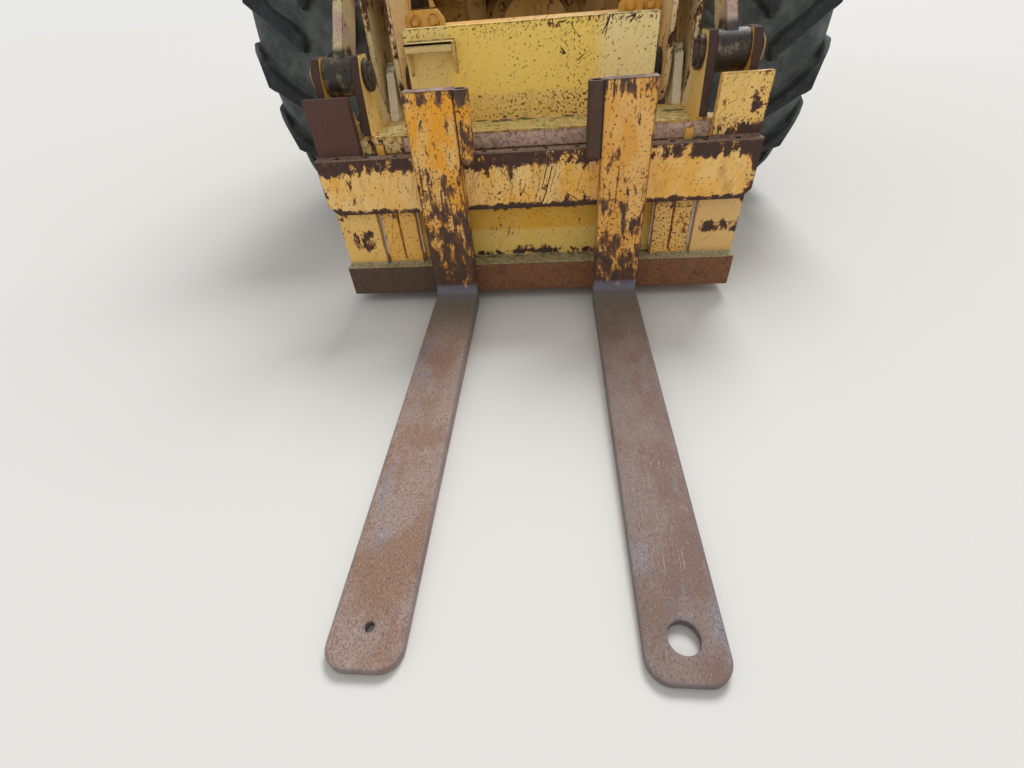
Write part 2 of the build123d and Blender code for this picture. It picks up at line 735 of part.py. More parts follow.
def make_rear_frame():
    inner = rear_frame_half - frame_plate
    outline = [
        (rear_frame_front, 480),
        (rear_frame_front, 1250),
        (rear_frame_back, 1250),
        (rear_frame_back, 700),
        (wheelbase + 350, 760),
        (wheelbase + 200, axle_pad_top),
        (wheelbase - 200, axle_pad_top),
        (wheelbase - 350, 640),
        (gearbox_front + 50, 480),
    ]
    plate = side_plate(outline, (inner, rear_frame_half))
    frame = plate + mirror(plate, about=Plane.YZ)
    wide = (-inner, inner)
    cross = [
        (rear_frame_front, rear_frame_front + 30, 480, 1250),
        (wheelbase - 380, wheelbase - 350, 640, 1000),
        (wheelbase + 330, wheelbase + 360, 760, 960),
        (rear_frame_back - 30, rear_frame_back, 700, 1250),
    ]
    for y0, y1, z0, z1 in cross:
        frame += block(wide, (y0, y1), (z0, z1))
    for z in (pivot_low, pivot_high):
        for offset in (-hinge_plate - 4, hinge_plate + 4):
            low = z + offset - 16
            high = z + offset + 16
            nose = [
                (-300, rear_frame_front + 5),
                (300, rear_frame_front + 5),
                (hinge_nose, pivot_y),
                (-hinge_nose, pivot_y),
            ]
            frame += top_plate(nose, (low, high))
            frame += bar_z(0, pivot_y, hinge_nose, (low, high))
        frame += bar_z(0, pivot_y, pivot_radius, (z - 75, z + 75))
    for side in (-1, 1):
        for z in steer_lugs:
            lug = [
                (side * (rear_frame_half - 1), steer_foot[1] + 100),
                (side * (rear_frame_half - 1), steer_foot[1] + 5),
                (side * (steer_foot[0] - 38), steer_foot[1] - 25),
                (side * steer_foot[0], steer_foot[1] - 38),
                (side * (steer_foot[0] + 40), steer_foot[1] - 20),
                (side * (steer_foot[0] + 40), steer_foot[1] + 45),
            ]
            frame += top_plate(lug, z)
        frame += bar_z(side * steer_foot[0], steer_foot[1], steer_rod_radius * 0.8, (645, 755))
        # open slot that the steering cylinder swings through
        slot = sorted((side * 275, side * (rear_frame_half + 1)))
        frame -= block(slot, (rear_frame_front - 1, pivot_y + 590), (steer_height - 60, steer_height + 60))
        pad = sorted((side * (inner - 20), side * (rear_frame_half + 40)))
        for y in (wheelbase - 140, wheelbase + 50):
            frame += block(pad, (y, y + 90), (axle_pad_top, axle_pad_top + 30))
        # cab and hood carriers that reach out from the plates
        carriers = (
            (pivot_y + 400, carrier_reach),
            (pivot_y + 900, fender_inner),
            (hood_front + 670, fender_inner),
            (rear_frame_back - 200, carrier_reach),
        )
        for y, reach in carriers:
            frame += block(sorted((side * inner, side * reach)), (y, y + 50), (1250, hood_base))
        for y in (tank_front + 30, tank_back - 70):
            frame += block(sorted((side * inner, side * tank_inner)), (y, y + 40), (900, 1000))
    frame -= bar_y(0, axle_height, shaft_radius + 35, (rear_frame_front - 120, wheelbase - 340))
    return frame


def make_cab():
    outside = [
        (cab_front_low, 1330),
        (cab_front_mid, cab_waist),
        (cab_front_top, cab_roof_low),
        (cab_back, cab_roof_low),
        (cab_back + 30, 1330),
    ]
    inside = [
        (cab_front_low + 45, cab_floor),
        (cab_front_mid + 52, cab_waist + 5),
        (cab_front_top + 52, cab_roof_low + 10),
        (cab_back - cab_wall, cab_roof_low + 10),
        (cab_back - cab_wall, cab_floor),
    ]
    shell = side_plate(outside, (-cab_half, cab_half))
    upright = shell.edges().filter_by(Axis.X, reverse=True)
    corners = upright.filter_by(lambda edge: abs(edge.center().Z - 2300) < 700)
    shell = fillet(corners, cab_corner)
    shell -= side_plate(inside, (cab_wall - cab_half, cab_half - cab_wall))
    # windscreen, rear window, then the side openings of the doors and quarter lights
    for side in (-1, 1):
        skirt = sorted((side * cab_low_half, side * (cab_half + 5)))
        shell -= block(skirt, (pivot_y - 100, cab_back + 80), (hood_base - 30, cab_floor - 4))
    glass_half = cab_half - 90
    rear_glass = (cab_floor + 740, cab_roof_low - 80)
    glass_y = (cab_front_mid - 140, cab_front_low)
    windscreen = block((-glass_half, glass_half), glass_y, (cab_waist + 15, glass_top))
    rear_window = block((40 - glass_half, glass_half - 40), (cab_back - 120, cab_back + 80), rear_glass)
    shell -= windscreen
    shell -= rear_window
    door = door_outline(0)
    quarter_front, quarter_back = door_edge_back + 70, cab_back - 80
    quarter = [
        (quarter_front, cab_floor + 730),
        (quarter_front, glass_top),
        (quarter_back, glass_top),
        (quarter_back, cab_floor + 730),
    ]
    for side in (-1, 1):
        out = sorted((side * (cab_half - cab_wall - 5), side * (cab_half + 5)))
        shell -= side_plate(door, out, 20)
        shell -= side_plate(quarter, out, 30)
    roof_span = (cab_front_top - 100, cab_back + 60)
    roof = block((-cab_half - 40, cab_half + 40), roof_span, (cab_roof_low, cab_roof_low + roof_thickness))
    roof = fillet(roof.edges().filter_by(Axis.Z), 90)
    roof = fillet(roof.faces().sort_by(Axis.Z)[-1].edges(), 40)
    add("cab_roof", roof)
    front_angle = math.degrees(math.atan2(cab_front_top - cab_front_mid, cab_roof_low - cab_waist))
    pane = Box(2 * glass_half, glass, glass_top - cab_waist - 20)
    pane_y = (cab_front_mid + cab_front_top) / 2 + 28
    pane_z = (glass_top + cab_waist) / 2 + 7
    add("cab_glass", Pos(0, pane_y, pane_z) * Rot(-front_angle, 0, 0) * pane)
    rear_y = (cab_back - 40, cab_back - 40 + glass)
    add("cab_glass", block((40 - glass_half, glass_half - 40), rear_y, rear_glass))
    for side in (-1, 1):
        x = sorted((side * (cab_half - 30), side * (cab_half - 30 + glass)))
        add("cab_glass", side_plate(quarter, x, 30))
        name = "left" if side == 1 else "right"
        wall = sorted((side * (cab_half - cab_wall + 4), side * (cab_half + 4)))
        leaf = side_plate(door_outline(door_gap), wall, 18)
        window = [(y, z) for y, z in door_outline(80)]
        window[0] = (window[0][0], cab_waist)
        window[-1] = (window[-1][0], cab_waist)
        leaf -= side_plate(window, sorted((side * 500, side * 800)), 40)
        hinge_x = side * (cab_half + 16)
        for z in (1750, 2850):
            leaf += bar_z(hinge_x, door_edge_back + 10, 12, (z + 40 + fit_gap, z + 100))
            strap = sorted((side * cab_half, side * (cab_half + 16)))
            leaf += block(strap, (door_edge_back - 20, door_edge_back + 4), (z + 45, z + 95))
            shell += bar_z(hinge_x, door_edge_back + 10, 12, (z, z + 40))
            seat = sorted((side * (cab_half - 2), side * (cab_half + 16)))
            shell += block(seat, (door_edge_back + 6, door_edge_back + 22), (z, z + 40))
        # grab handle near the door's free edge
        for z in (door_base + 380, door_base + 580):
            stub = sorted((side * cab_half, side * (cab_half + 40)))
            leaf += block(stub, (door_edge_front + 12, door_edge_front + 32), (z, z + 20))
        leaf += bar_z(side * (cab_half + 40), door_edge_front + 22, 10, (door_base + 380, door_base + 600))
        pane_x = sorted((side * (cab_half - 28), side * (cab_half - 28 + glass)))
        add(f"cab_door_{name}", leaf)
        add(f"door_glass_{name}", side_plate(window, pane_x, 40))
    add("cab_shell", shell)


def door_outline(inset):
    """The door opening in Y and Z, drawn in by inset."""
    return [
        (door_edge_front + inset, door_base + inset),
        (door_edge_front - 40 + inset, cab_waist + 100),
        (door_edge_front + inset, glass_top + 10 - inset),
        (door_edge_back - inset, glass_top + 10 - inset),
        (door_edge_back - inset, door_base + inset),
    ]


def make_cab_inside():
    seat = block((-250, 250), (cab_back - 670, cab_back - 200), (cab_floor + 420, cab_floor + 530))
    seat = fillet(seat.edges(), 35)
    back = side_plate(
        [
            (cab_back - 260, cab_floor + 500),
            (cab_back - 140, cab_floor + 480),
            (cab_back - 75, cab_floor + 1150),
            (cab_back - 160, cab_floor + 1170),
        ],
        (-240, 240),
        25,
    )
    base = block((-170, 170), (cab_back - 590, cab_back - 260), (cab_floor, cab_floor + 425))
    add("seat", seat + back + base)
    column = Cylinder(45, 640, align=(Align.CENTER, Align.CENTER, Align.MIN))
    column = Pos(0, cab_front_low + 140, cab_floor + 9.8) * Rot(-12, 0, 0) * column
    wheel = Torus(200, 14) + Box(390, 30, 14) + Cylinder(45, 60)
    wheel = Pos(0, cab_front_low + 275, cab_floor + 660) * Rot(-28, 0, 0) * wheel
    add("steering_column", column + wheel)
    dash = side_plate(
        [
            (cab_front_low + 50, cab_floor),
            (cab_front_low - 20, cab_floor + 480),
            (cab_front_low + 40, cab_floor + 520),
            (cab_front_low + 120, cab_floor + 400),
            (cab_front_low + 90, cab_floor),
        ],
        (-330, 330),
        15,
    )
    side_box = block((320, 600), (cab_back - 740, cab_back - 180), (cab_floor, cab_floor + 620))
    add("console", dash, fillet(side_box.edges().filter_by(Axis.X), 40))


def make_hood():
    outline = [
        (hood_front, hood_base),
        (hood_front, hood_top_front),
        (hood_back - 120, hood_top_back),
        (hood_back, hood_top_back - 120),
        (hood_back, hood_base),
    ]
    inside = [
        (hood_front - 1, hood_base - 1),
        (hood_front - 1, hood_top_front - sheet),
        (hood_back - 120 - sheet, hood_top_back - sheet),
        (hood_back - sheet, hood_top_back - 120 - sheet),
        (hood_back - sheet, hood_base - 1),
    ]
    hood = side_plate(outline, (-hood_half, hood_half))
    side_edges = hood.edges().filter_by(lambda edge: abs(abs(edge.center().X) - hood_half) < 1)
    top_edges = side_edges.filter_by(lambda edge: edge.center().Z > 1950)
    hood = fillet(top_edges, 70)
    hood -= side_plate(inside, (sheet - hood_half, hood_half - sheet))
    opening = [(door_front, door_low), (door_front, door_high), (door_back, door_high), (door_back, door_low)]
    for side in (-1, 1):
        hood -= side_plate(opening, sorted((side * (hood_half - 60), side * (hood_half + 10))), 30)
    hood -= block((-520, 520), (hood_back - 60, hood_back + 10), (1420, 1880))
    hood -= bar_z(*exhaust_at, exhaust_radius + fit_gap, (2000, 2400))
    hood -= bar_z(*intake_at, intake_radius + fit_gap, (2000, 2400))
    knuckle_starts = (door_front + 130, door_back - 310)
    knuckle_half = hood_half + knuckle + 1
    for side in (-1, 1):
        for y in knuckle_starts:
            for offset in (0, 120):
                span = (y + offset, y + offset + 60)
                hood += bar_y(side * knuckle_half, door_high, knuckle, span)
                leaf_side = sorted((side * (hood_half - 1), side * knuckle_half))
                hood += block(leaf_side, span, (door_high, door_high + knuckle))
    add("hood", hood)
    leaf = [
        (door_front + door_gap, door_low + door_gap),
        (door_front + door_gap, door_high - door_gap),
        (door_back - door_gap, door_high - door_gap),
        (door_back - door_gap, door_low + door_gap),
    ]
    for side, name in ((1, "left"), (-1, "right")):
        x = sorted((side * (hood_half - sheet), side * hood_half))
        door = side_plate(leaf, x, 25)
        for vent in range(vent_count):
            y = door_back - 120 - vent * vent_pitch
            through = sorted((side * (hood_half - 60), side * (hood_half + 10)))
            door -= block(through, (y, y + vent_pitch / 3), (door_low + 70, door_high - 90))
        tab = sorted((side * (hood_half - 4), side * knuckle_half))
        for y in knuckle_starts:
            span = (y + 60 + fit_gap, y + 120 - fit_gap)
            door += bar_y(side * knuckle_half, door_high, knuckle, span)
            door += block(tab, span, (door_high - 30, door_high - 5))
        add(f"hood_door_{name}", door)
    grille = block((-514, 514), (hood_back - sheet - 1, hood_back + 4), (1426, 1874))
    grille += block((-540, 540), (hood_back - sheet - 8, hood_back - sheet), (1400, 1900))
    slot_count = 14
    pitch = 430 / slot_count
    slots = []
    for index in range(slot_count):
        z = 1436 + pitch * (index + 0.5)
        for x in ((-490, -12), (12, 490)):
            slots.append(block(x, (hood_back - 40, hood_back + 20), (z - pitch * 0.3, z + pitch * 0.3)))
    add("grille", grille - slots)


def make_rear_body():
    body = [
        (rear_frame_back - 100, weight_low + 200),
        (rear_frame_back - 100, weight_high),
        (weight_back - 60, weight_high),
        (weight_back, weight_high - 80),
        (weight_back, weight_low + 240),
        (weight_back - 200, weight_low),
        (rear_frame_back + 80, weight_low),
    ]
    weight = side_plate(body, (-weight_half, weight_half))
    corner = weight.edges().filter_by(Axis.Z).group_by(Axis.Y)[-1]
    weight = chamfer(corner, 160)
    frame_end = (-rear_frame_half - 1, rear_frame_half + 1)
    weight -= block(frame_end, (rear_frame_back - 200, rear_frame_back + 1), (500, 1251))
    weight -= block((-80, 80), (weight_back - 160, weight_back + 10), (820, 960))
    weight += bar_z(0, weight_back - 60, 20, (800, 980))
    low_x, high_x, low_z, high_z = rear_lamp
    for side in (-1, 1):
        pocket = sorted((side * low_x, side * high_x))
        weight -= block(pocket, (weight_back - 40, weight_back + 5), (low_z, high_z))
        x = sorted((side * (low_x + fit_gap), side * (high_x - fit_gap)))
        lamp = block(x, (weight_back - 40 + fit_gap, weight_back), (low_z + fit_gap, high_z - fit_gap))
        add("rear_lamps", chamfer(lamp.faces().sort_by(Axis.Y)[-1].edges(), 8))
    carrier_end = (-carrier_reach - 1, carrier_reach + 1)
    weight -= block(carrier_end, (rear_frame_back - 200, rear_frame_back), (1249, 1331))
    add("counterweight", weight)
    engine = block((-engine_half, engine_half), (engine_front, engine_front + 930), (980, 1850))
    inside_frame = rear_frame_half - frame_plate
    for y in (engine_front + 100, engine_front + 760):
        engine += block((-inside_frame, inside_frame), (y, y + 80), (1080, 1180))
    add("engine_block", engine)
    add("radiator", block((-500, 500), (hood_back - 420, hood_back - 300), (hood_base, 1960)))
    gearbox = block((-gearbox_half, gearbox_half), (gearbox_front, gearbox_back), (560, 1150))
    gearbox = chamfer(gearbox.edges().filter_by(Axis.Y), 60)
    gearbox += bar_y(0, axle_height, 70, (gearbox_front - 250, gearbox_front + 10))
    gearbox += block((-inside_frame, inside_frame), (gearbox_front + 150, gearbox_front + 250), (900, 1000))
    add("transmission", gearbox)
    rear_shaft = (gearbox_back, wheelbase - differential_radius - fit_gap)
    add("rear_drive_shaft", bar_y(0, axle_height, shaft_radius, rear_shaft))
    pipe = bar_z(*exhaust_at, exhaust_radius, (2150, 2750))
    tail = Cylinder(exhaust_radius, 160, align=(Align.CENTER, Align.CENTER, Align.MIN))
    pipe += Pos(*exhaust_at, 2750) * Rot(35, 0, 0) * tail
    add("exhaust", pipe)
    cleaner = bar_z(*intake_at, intake_radius, (2150, 2480)) + bar_z(*intake_at, 120, (2480, 2640))
    add("air_intake", cleaner)


def make_fenders():
    for centre, name, ends in ((0, "front_fenders", (-80, 700)), (wheelbase, "rear_fenders", (-760, 760))):
        radius = fender_top - axle_height
        sheets = []
        for side in (-1, 1):
            x = sorted((side * fender_inner, side * fender_outer))
            arch = bar_x((centre, axle_height), radius, x)
            arch -= bar_x((centre, axle_height), radius - fender_sheet, x)
            keep = block(x, (centre + ends[0], centre + ends[1]), (axle_height + 120, fender_top + 1))
            lip_x = sorted((side * (fender_outer - fender_sheet), side * fender_outer))
            lip = bar_x((centre, axle_height), radius, lip_x)
            arch += lip - bar_x((centre, axle_height), radius - fender_lip, lip_x)
            arch &= keep
            sheets.append(arch)
        add(name, *sheets)


def make_sides():
    for side in (-1, 1):
        tank = block(sorted((side * tank_inner, side * 1120)), (tank_front, tank_back), (560, 1180))
        tank = fillet(tank.edges().filter_by(Axis.Z), 50)
        add("side_tanks", tank)
        deck_x = sorted((side * cab_low_half, side * 1150))
        deck = block(deck_x, (tank_front - 40, tank_back + 50), (1500, 1530))
        for z in (620, 900, 1200):
            deck += block(sorted((side * 1120, side * 1190)), (tank_front + 20, tank_back - 20), (z, z + 25))
        for y in (tank_front + 20, tank_back - 45):
            deck += block(sorted((side * 1120, side * 1190)), (y, y + 25), (600, 1530))
        add("steps", deck)


def make_lamps():
    for side in (-1, 1):
        roof_edge = cab_front_top - 100
        lamp_x = sorted((side * (cab_half - 190), side * (cab_half - 50)))
        lamp = block(lamp_x, (roof_edge - 60, roof_edge), (cab_roof_low + 8, cab_roof_low + 108))
        add("lamps", fillet(lamp.edges().filter_by(Axis.Y), 20))
        head_x, head_z = headlamp_at
        head = bar_y(side * head_x, head_z, headlamp_radius, (-70, 20))
        head = chamfer(head.edges().group_by(Axis.Y)[-1], 25)
        post = sorted((side * (head_x - 30), side * (head_x + 30)))
        head += block(post, (-30, 30), (fender_top + 0.3, head_z))
        add("headlamps", head)
        rail_x = side * (cab_half + 60)
        rail = bar_z(rail_x, pillar_y, 14, (door_base + 100, glass_top - 400))
        for z in (door_base + 130, glass_top - 430):
            rail += bar_x((pillar_y, z), 12, sorted((side * (cab_half + 0.3), rail_x)))
        add("handrails", rail)
        arm = bar_x((pillar_y, glass_top - 350), 14, sorted((side * (cab_half + 0.3), side * 900)))
        glass_x = sorted((side * 820, side * 980))
        add("mirrors", arm + block(glass_x, (pillar_y - 25, pillar_y + 10), (glass_top - 570, glass_top - 250)))


def make_model():
    tyre = make_tyre()
    rim = make_rim()
    places = (
        (1, 0, "front_left"),
        (-1, 0, "front_right"),
        (1, wheelbase, "rear_left"),
        (-1, wheelbase, "rear_right"),
    )
    for side, y, name in places:
        place = Pos(side * wheel_track / 2, y, axle_height)
        turned = rim if side == 1 else mirror(rim, about=Plane.YZ)
        add(f"tyre_{name}", place * tyre)
        add(f"rim_{name}", place * turned)
    add("front_axle", make_axle(0, -1))
    add("rear_axle", make_axle(wheelbase, 1))
    shaft_end = pivot_y - 80
    shaft = bar_y(0, axle_height, shaft_radius, (differential_radius + fit_gap, shaft_end))
    shaft += bar_y(0, axle_height, shaft_radius + 17, (shaft_end - 20, shaft_end))
    for x in ((-55, -30), (30, 55)):
        shaft += block(x, (shaft_end - 5, shaft_end + 60), (axle_height - 30, axle_height + 30))
    add("front_drive_shaft", shaft)
    fork = make_forks()
    hole_y = fork_face - fork_length + tip_hole_inset
    add("fork_left", fork - bar_z(fork_half, hole_y, tip_hole_left / 2, (-20, 100)))
    other_fork = mirror(fork, about=Plane.YZ)
    add("fork_right", other_fork - bar_z(-fork_half, hole_y, tip_hole_right / 2, (-20, 100)))
    add("fork_carriage", make_carriage())
    add("lift_arms", make_arms())
    make_linkage()
    make_cylinders()
    add("front_frame", make_front_frame())
    add("rear_frame", make_rear_frame())
    make_cab()
    make_cab_inside()
    make_hood()
    make_rear_body()
    make_fenders()
    make_sides()
    make_lamps()


make_model()
os.makedirs("parts", exist_ok=True)
for node_name, shapes in nodes.items():
    solids = [solid for shape in shapes for solid in shape.solids()]
    export_step(on_ground * Compound(solids), f"parts/{node_name}.step")
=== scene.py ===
import math
import random

import bmesh
import bpy
from mathutils import Euler, Matrix, Vector


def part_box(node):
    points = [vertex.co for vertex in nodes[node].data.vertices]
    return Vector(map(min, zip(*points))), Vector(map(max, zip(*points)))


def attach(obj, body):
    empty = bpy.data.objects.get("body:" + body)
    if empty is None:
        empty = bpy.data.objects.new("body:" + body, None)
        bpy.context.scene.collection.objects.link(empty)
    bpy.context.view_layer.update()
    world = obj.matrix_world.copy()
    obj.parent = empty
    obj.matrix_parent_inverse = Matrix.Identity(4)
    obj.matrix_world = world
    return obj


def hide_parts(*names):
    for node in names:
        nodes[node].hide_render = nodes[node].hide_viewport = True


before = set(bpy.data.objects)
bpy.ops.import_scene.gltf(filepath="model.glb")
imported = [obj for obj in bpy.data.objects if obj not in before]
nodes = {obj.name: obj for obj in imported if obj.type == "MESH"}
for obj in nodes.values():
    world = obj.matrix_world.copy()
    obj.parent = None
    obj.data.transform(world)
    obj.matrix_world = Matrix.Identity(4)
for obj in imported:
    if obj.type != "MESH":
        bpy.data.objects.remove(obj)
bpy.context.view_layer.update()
mm = 0.001
frontAxle = sum(corner.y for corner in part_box("rim_front_left")) / 2  # metres, where y is 0 on the drawing
axleHeight = sum(corner.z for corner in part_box("rim_front_left")) / 2 / mm
wheelX = 950  # mm, middle of a tyre from the middle of the machine
print("frame loaded:", len(nodes), "nodes")


def spanOf(name):
    # low and high corner of a node in mm, with y from the front axle and z from the ground
    return [Vector((corner.x, corner.y - frontAxle, corner.z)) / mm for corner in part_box(name)]


# camera, floor and light
view = {
    "place": (0.0591, -4.1011, 0.9298),  # metres, where the photographer's eye was
    "turn": (49.2284, 3.6767, 3.2899),  # degrees
    "lens": 16.262,  # a phone's wide lens, on a 36 mm frame
}
studio = {
    "floor": "#d9d8d5",
    "sky": "#f4f4f2",
    "world": 0.72,  # its strength on the object
    "seen": 0.9,  # its strength where the camera looks at it
    "key": 2.1,
    "keyTurn": (-38, 14, 0),  # the light comes from behind the machine, as in the photo
    "keySoftness": 24,
    "floorSize": 60,
    "floorRoughness": 0.9,
}


def toLinear(hexColour):
    parts = [int(hexColour[i:i + 2], 16) / 255 for i in (1, 3, 5)]
    return tuple(c / 12.92 if c <= 0.04045 else ((c + 0.055) / 1.055) ** 2.4 for c in parts) + (1.0,)


inHand = {}  # the material or world that is being put together, and its object coordinates


def addNode(kind, *values, output=0, **settings):
    # adds one node with its settings, and gives back the output that the next node needs;
    # values are set or linked to its inputs in order, or by name from a dictionary
    tree = inHand["material"].node_tree
    node = tree.nodes.new("ShaderNode" + kind)
    for name, value in settings.items():
        setattr(node, name, value)
    inputs = values[0] if values and isinstance(values[0], dict) else dict(enumerate(values))
    for name, value in inputs.items():
        if isinstance(value, bpy.types.NodeSocket):
            tree.links.new(value, node.inputs[name])
        else:
            node.inputs[name].default_value = toLinear(value) if isinstance(value, str) else value
    return node.outputs[output] if node.outputs else node


def setCamera():
    camera = bpy.data.objects.new("camera", bpy.data.cameras.new("camera"))
    camera.data.lens = view["lens"]
    camera.data.sensor_width = 36
    camera.data.clip_start = 0.02
    camera.location = view["place"]
    camera.rotation_euler = Euler([math.radians(a) for a in view["turn"]])
    bpy.context.scene.collection.objects.link(camera)
    bpy.context.scene.camera = camera


def setStudio():
    scene = bpy.context.scene
    scene.view_settings.view_transform = "Standard"
    world = bpy.data.worlds.new("studio")
    scene.world = world
    world.use_nodes = True
    world.node_tree.nodes.clear()
    inHand["material"] = world
    direct = addNode("LightPath", output="Is Camera Ray")
    through = addNode("LightPath", output="Is Transmission Ray")
    seen = addNode("Math", direct, through, operation="MAXIMUM")
    strength = addNode("Mix", {"Factor": seen, "A": studio["world"], "B": studio["seen"]}, data_type="FLOAT")
    sky = addNode("Background", {"Color": studio["sky"], "Strength": strength})
    addNode("OutputWorld", {"Surface": sky})
    sun = bpy.data.lights.new("key", "SUN")
    sun.energy = studio["key"]
    sun.angle = math.radians(studio["keySoftness"])
    lamp = bpy.data.objects.new("key", sun)
    lamp.rotation_euler = Euler([math.radians(a) for a in studio["keyTurn"]])
    scene.collection.objects.link(lamp)
    bm = bmesh.new()
    bmesh.ops.create_grid(bm, x_segments=1, y_segments=1, size=studio["floorSize"])
    mesh = bpy.data.meshes.new("floor")
    bm.to_mesh(mesh)
    bm.free()
    floor = bpy.data.objects.new("floor", mesh)
    scene.collection.objects.link(floor)
    material = bpy.data.materials.new("paleFloor")
    material.use_nodes = True
    shader = material.node_tree.nodes["Principled BSDF"]
    shader.inputs["Base Color"].default_value = toLinear(studio["floor"])
    shader.inputs["Roughness"].default_value = studio["floorRoughness"]
    mesh.materials.append(material)


# masks and patterns that the finishes share
def fade(value, low, high):
    return addNode("MapRange", {"Value": value, "From Min": low, "From Max": high},
                   interpolation_type="SMOOTHSTEP")


def blotches(size, stretch=(1, 1, 1), detail=4, roughness=0.6, turn=(0, 0, 0)):
    # cloudy noise whose patches are about size mm across
    spread = tuple(1 / (size * mm * s) for s in stretch)
    turned = addNode("Mapping", {"Vector": inHand["coords"], "Rotation": turn})
    placed = addNode("Mapping", {"Vector": turned, "Scale": spread})
    return addNode("TexNoise", {"Vector": placed, "Scale": 1.0, "Detail": detail, "Roughness": roughness})


def softBox(low, high, feather, both=False):
    # 1 inside a box given in mm on the drawing, fading out over feather mm at its walls; both mirrors it in x
    centre = [(a + b) / 2 * mm for a, b in zip(low, high)]
    centre[1] += frontAxle
    half = [(b - a) / 2 * mm for a, b in zip(low, high)]
    coords = inHand["coords"]
    if both:
        x, y, z = [addNode("SeparateXYZ", coords, output=i) for i in range(3)]
        coords = addNode("CombineXYZ", addNode("Math", x, operation="ABSOLUTE"), y, z)
    away = addNode("VectorMath", coords, centre, operation="SUBTRACT")
    away = addNode("VectorMath", away, operation="ABSOLUTE")
    away = addNode("VectorMath", half, away, operation="SUBTRACT")
    least = addNode("Math", addNode("SeparateXYZ", away), addNode("SeparateXYZ", away, output=1),
                    operation="MINIMUM")
    least = addNode("Math", least, addNode("SeparateXYZ", away, output=2), operation="MINIMUM")
    return fade(least, -feather / 2 * mm, feather / 2 * mm)


def roundedNormal(width):
    return addNode("Bevel", {"Radius": width * mm}, samples=4)


def edgeMask(rounded):
    # 1 on outer and inner edges, falling to 0 where the surface is flat
    normal = addNode("NewGeometry", output="Normal")
    dot = addNode("VectorMath", rounded, normal, output="Value", operation="DOT_PRODUCT")
    return fade(dot, 0.995, 0.86)


def facing(axis, low, high):
    normal = addNode("NewGeometry", output="Normal")
    return fade(addNode("SeparateXYZ", normal, output=axis), low, high)


def startMaterial(name):
    material = bpy.data.materials.new(name)
    material.use_nodes = True
    material.node_tree.nodes.clear()
    inHand["material"] = material
    inHand["coords"] = addNode("TexCoord", output="Object")


def closeMaterial(colour, roughness, height=None, relief=0.5, normal=None, **sockets):
    # relief is how many mm the height from 0 to 1 stands for
    inputs = {"Base Color": colour, "Roughness": roughness}
    if height is not None:
        bump = {"Height": height, "Distance": relief * mm, "Strength": 1.0}
        if normal is not None:
            bump["Normal"] = normal
        inputs["Normal"] = addNode("Bump", bump)
    inputs.update({name.replace("_", " "): value for name, value in sockets.items()})
    addNode("OutputMaterial", {"Surface": addNode("BsdfPrincipled", inputs)})
    return inHand["material"]


# sprayed enamel over mild steel: flaked down to purple-brown rust with an orange rim round each flake
enamel = {
    "paint": "#e8ae44",
    "faded": "#efc374",
    "rustDark": "#46322b",
    "rustWarm": "#71472e",
    "rim": "#a86a32",
    "flake": 26,  # mm across
    "flakeStretch": (1, 1, 1.7),
    "wear": 0.0,  # 0.15 bares half of the steel, 0.35 nearly all of it
    "speck": 7,  # mm across
    "specks": 0.0,
    "edge": 7,  # mm, width of a worn edge
    "edgeWear": 0.2,
    "patches": 0.34,  # how far the wear goes up and down from place to place
    "grime": 0.5,
    "scratches": 1.0,
    "fleck": "#4a352c",
    "moss": 0.0,
}


def flakedPaint(look, wear, specks, paint):
    # gives back the colour and how bare the steel is; noise stays near 0.5, so the limits of a fade are close
    flakes = blotches(look["flake"], look["flakeStretch"], detail=6, roughness=0.66)
    worn = addNode("Math", flakes, wear, operation="ADD")
    flaked = fade(worn, 0.648, 0.664)
    rim = fade(worn, 0.605, 0.655)
    dots = blotches(look["speck"], (1, 1, 1.3), detail=3)
    dots = addNode("Math", wear, 0.42, dots, operation="MULTIPLY_ADD")
    dots = addNode("Math", dots, specks, operation="ADD")
    bare = addNode("Math", flaked, fade(dots, 0.672, 0.70), operation="MAXIMUM")
    # hair-thin scratches in three directions, each only in patches
    for turn, stretch in (((0, 0.5, 0), (14, 14, 1)), ((0, -0.25, 0.3), (1, 1, 22)),
                          ((0, 1.1, 0), (18, 9, 1))):
        lines = blotches(20, stretch, detail=1, turn=turn)
        away = addNode("Math", lines, 0.5, 0.0025, operation="COMPARE")
        where = fade(blotches(130, detail=2, turn=turn), 0.56, 0.6)
        line = addNode("Math", away, where, operation="MULTIPLY")
        line = addNode("Math", line, look["scratches"], operation="MULTIPLY")
        bare = addNode("Math", bare, line, operation="MAXIMUM")
    shade = fade(blotches(16, (1, 1, 1.5), detail=5), 0.4, 0.62)
    deep = fade(worn, 0.66, 0.76)
    shade = addNode("Math", shade, addNode("Math", 1.15, deep, operation="SUBTRACT"), operation="MULTIPLY",
                    use_clamp=True)
    rust = addNode("MixRGB", shade, look["rustDark"], look["rustWarm"])
    stained = addNode("MixRGB", addNode("Math", rim, 0.75, operation="MULTIPLY"), paint, look["rim"])
    return addNode("MixRGB", bare, stained, rust), bare


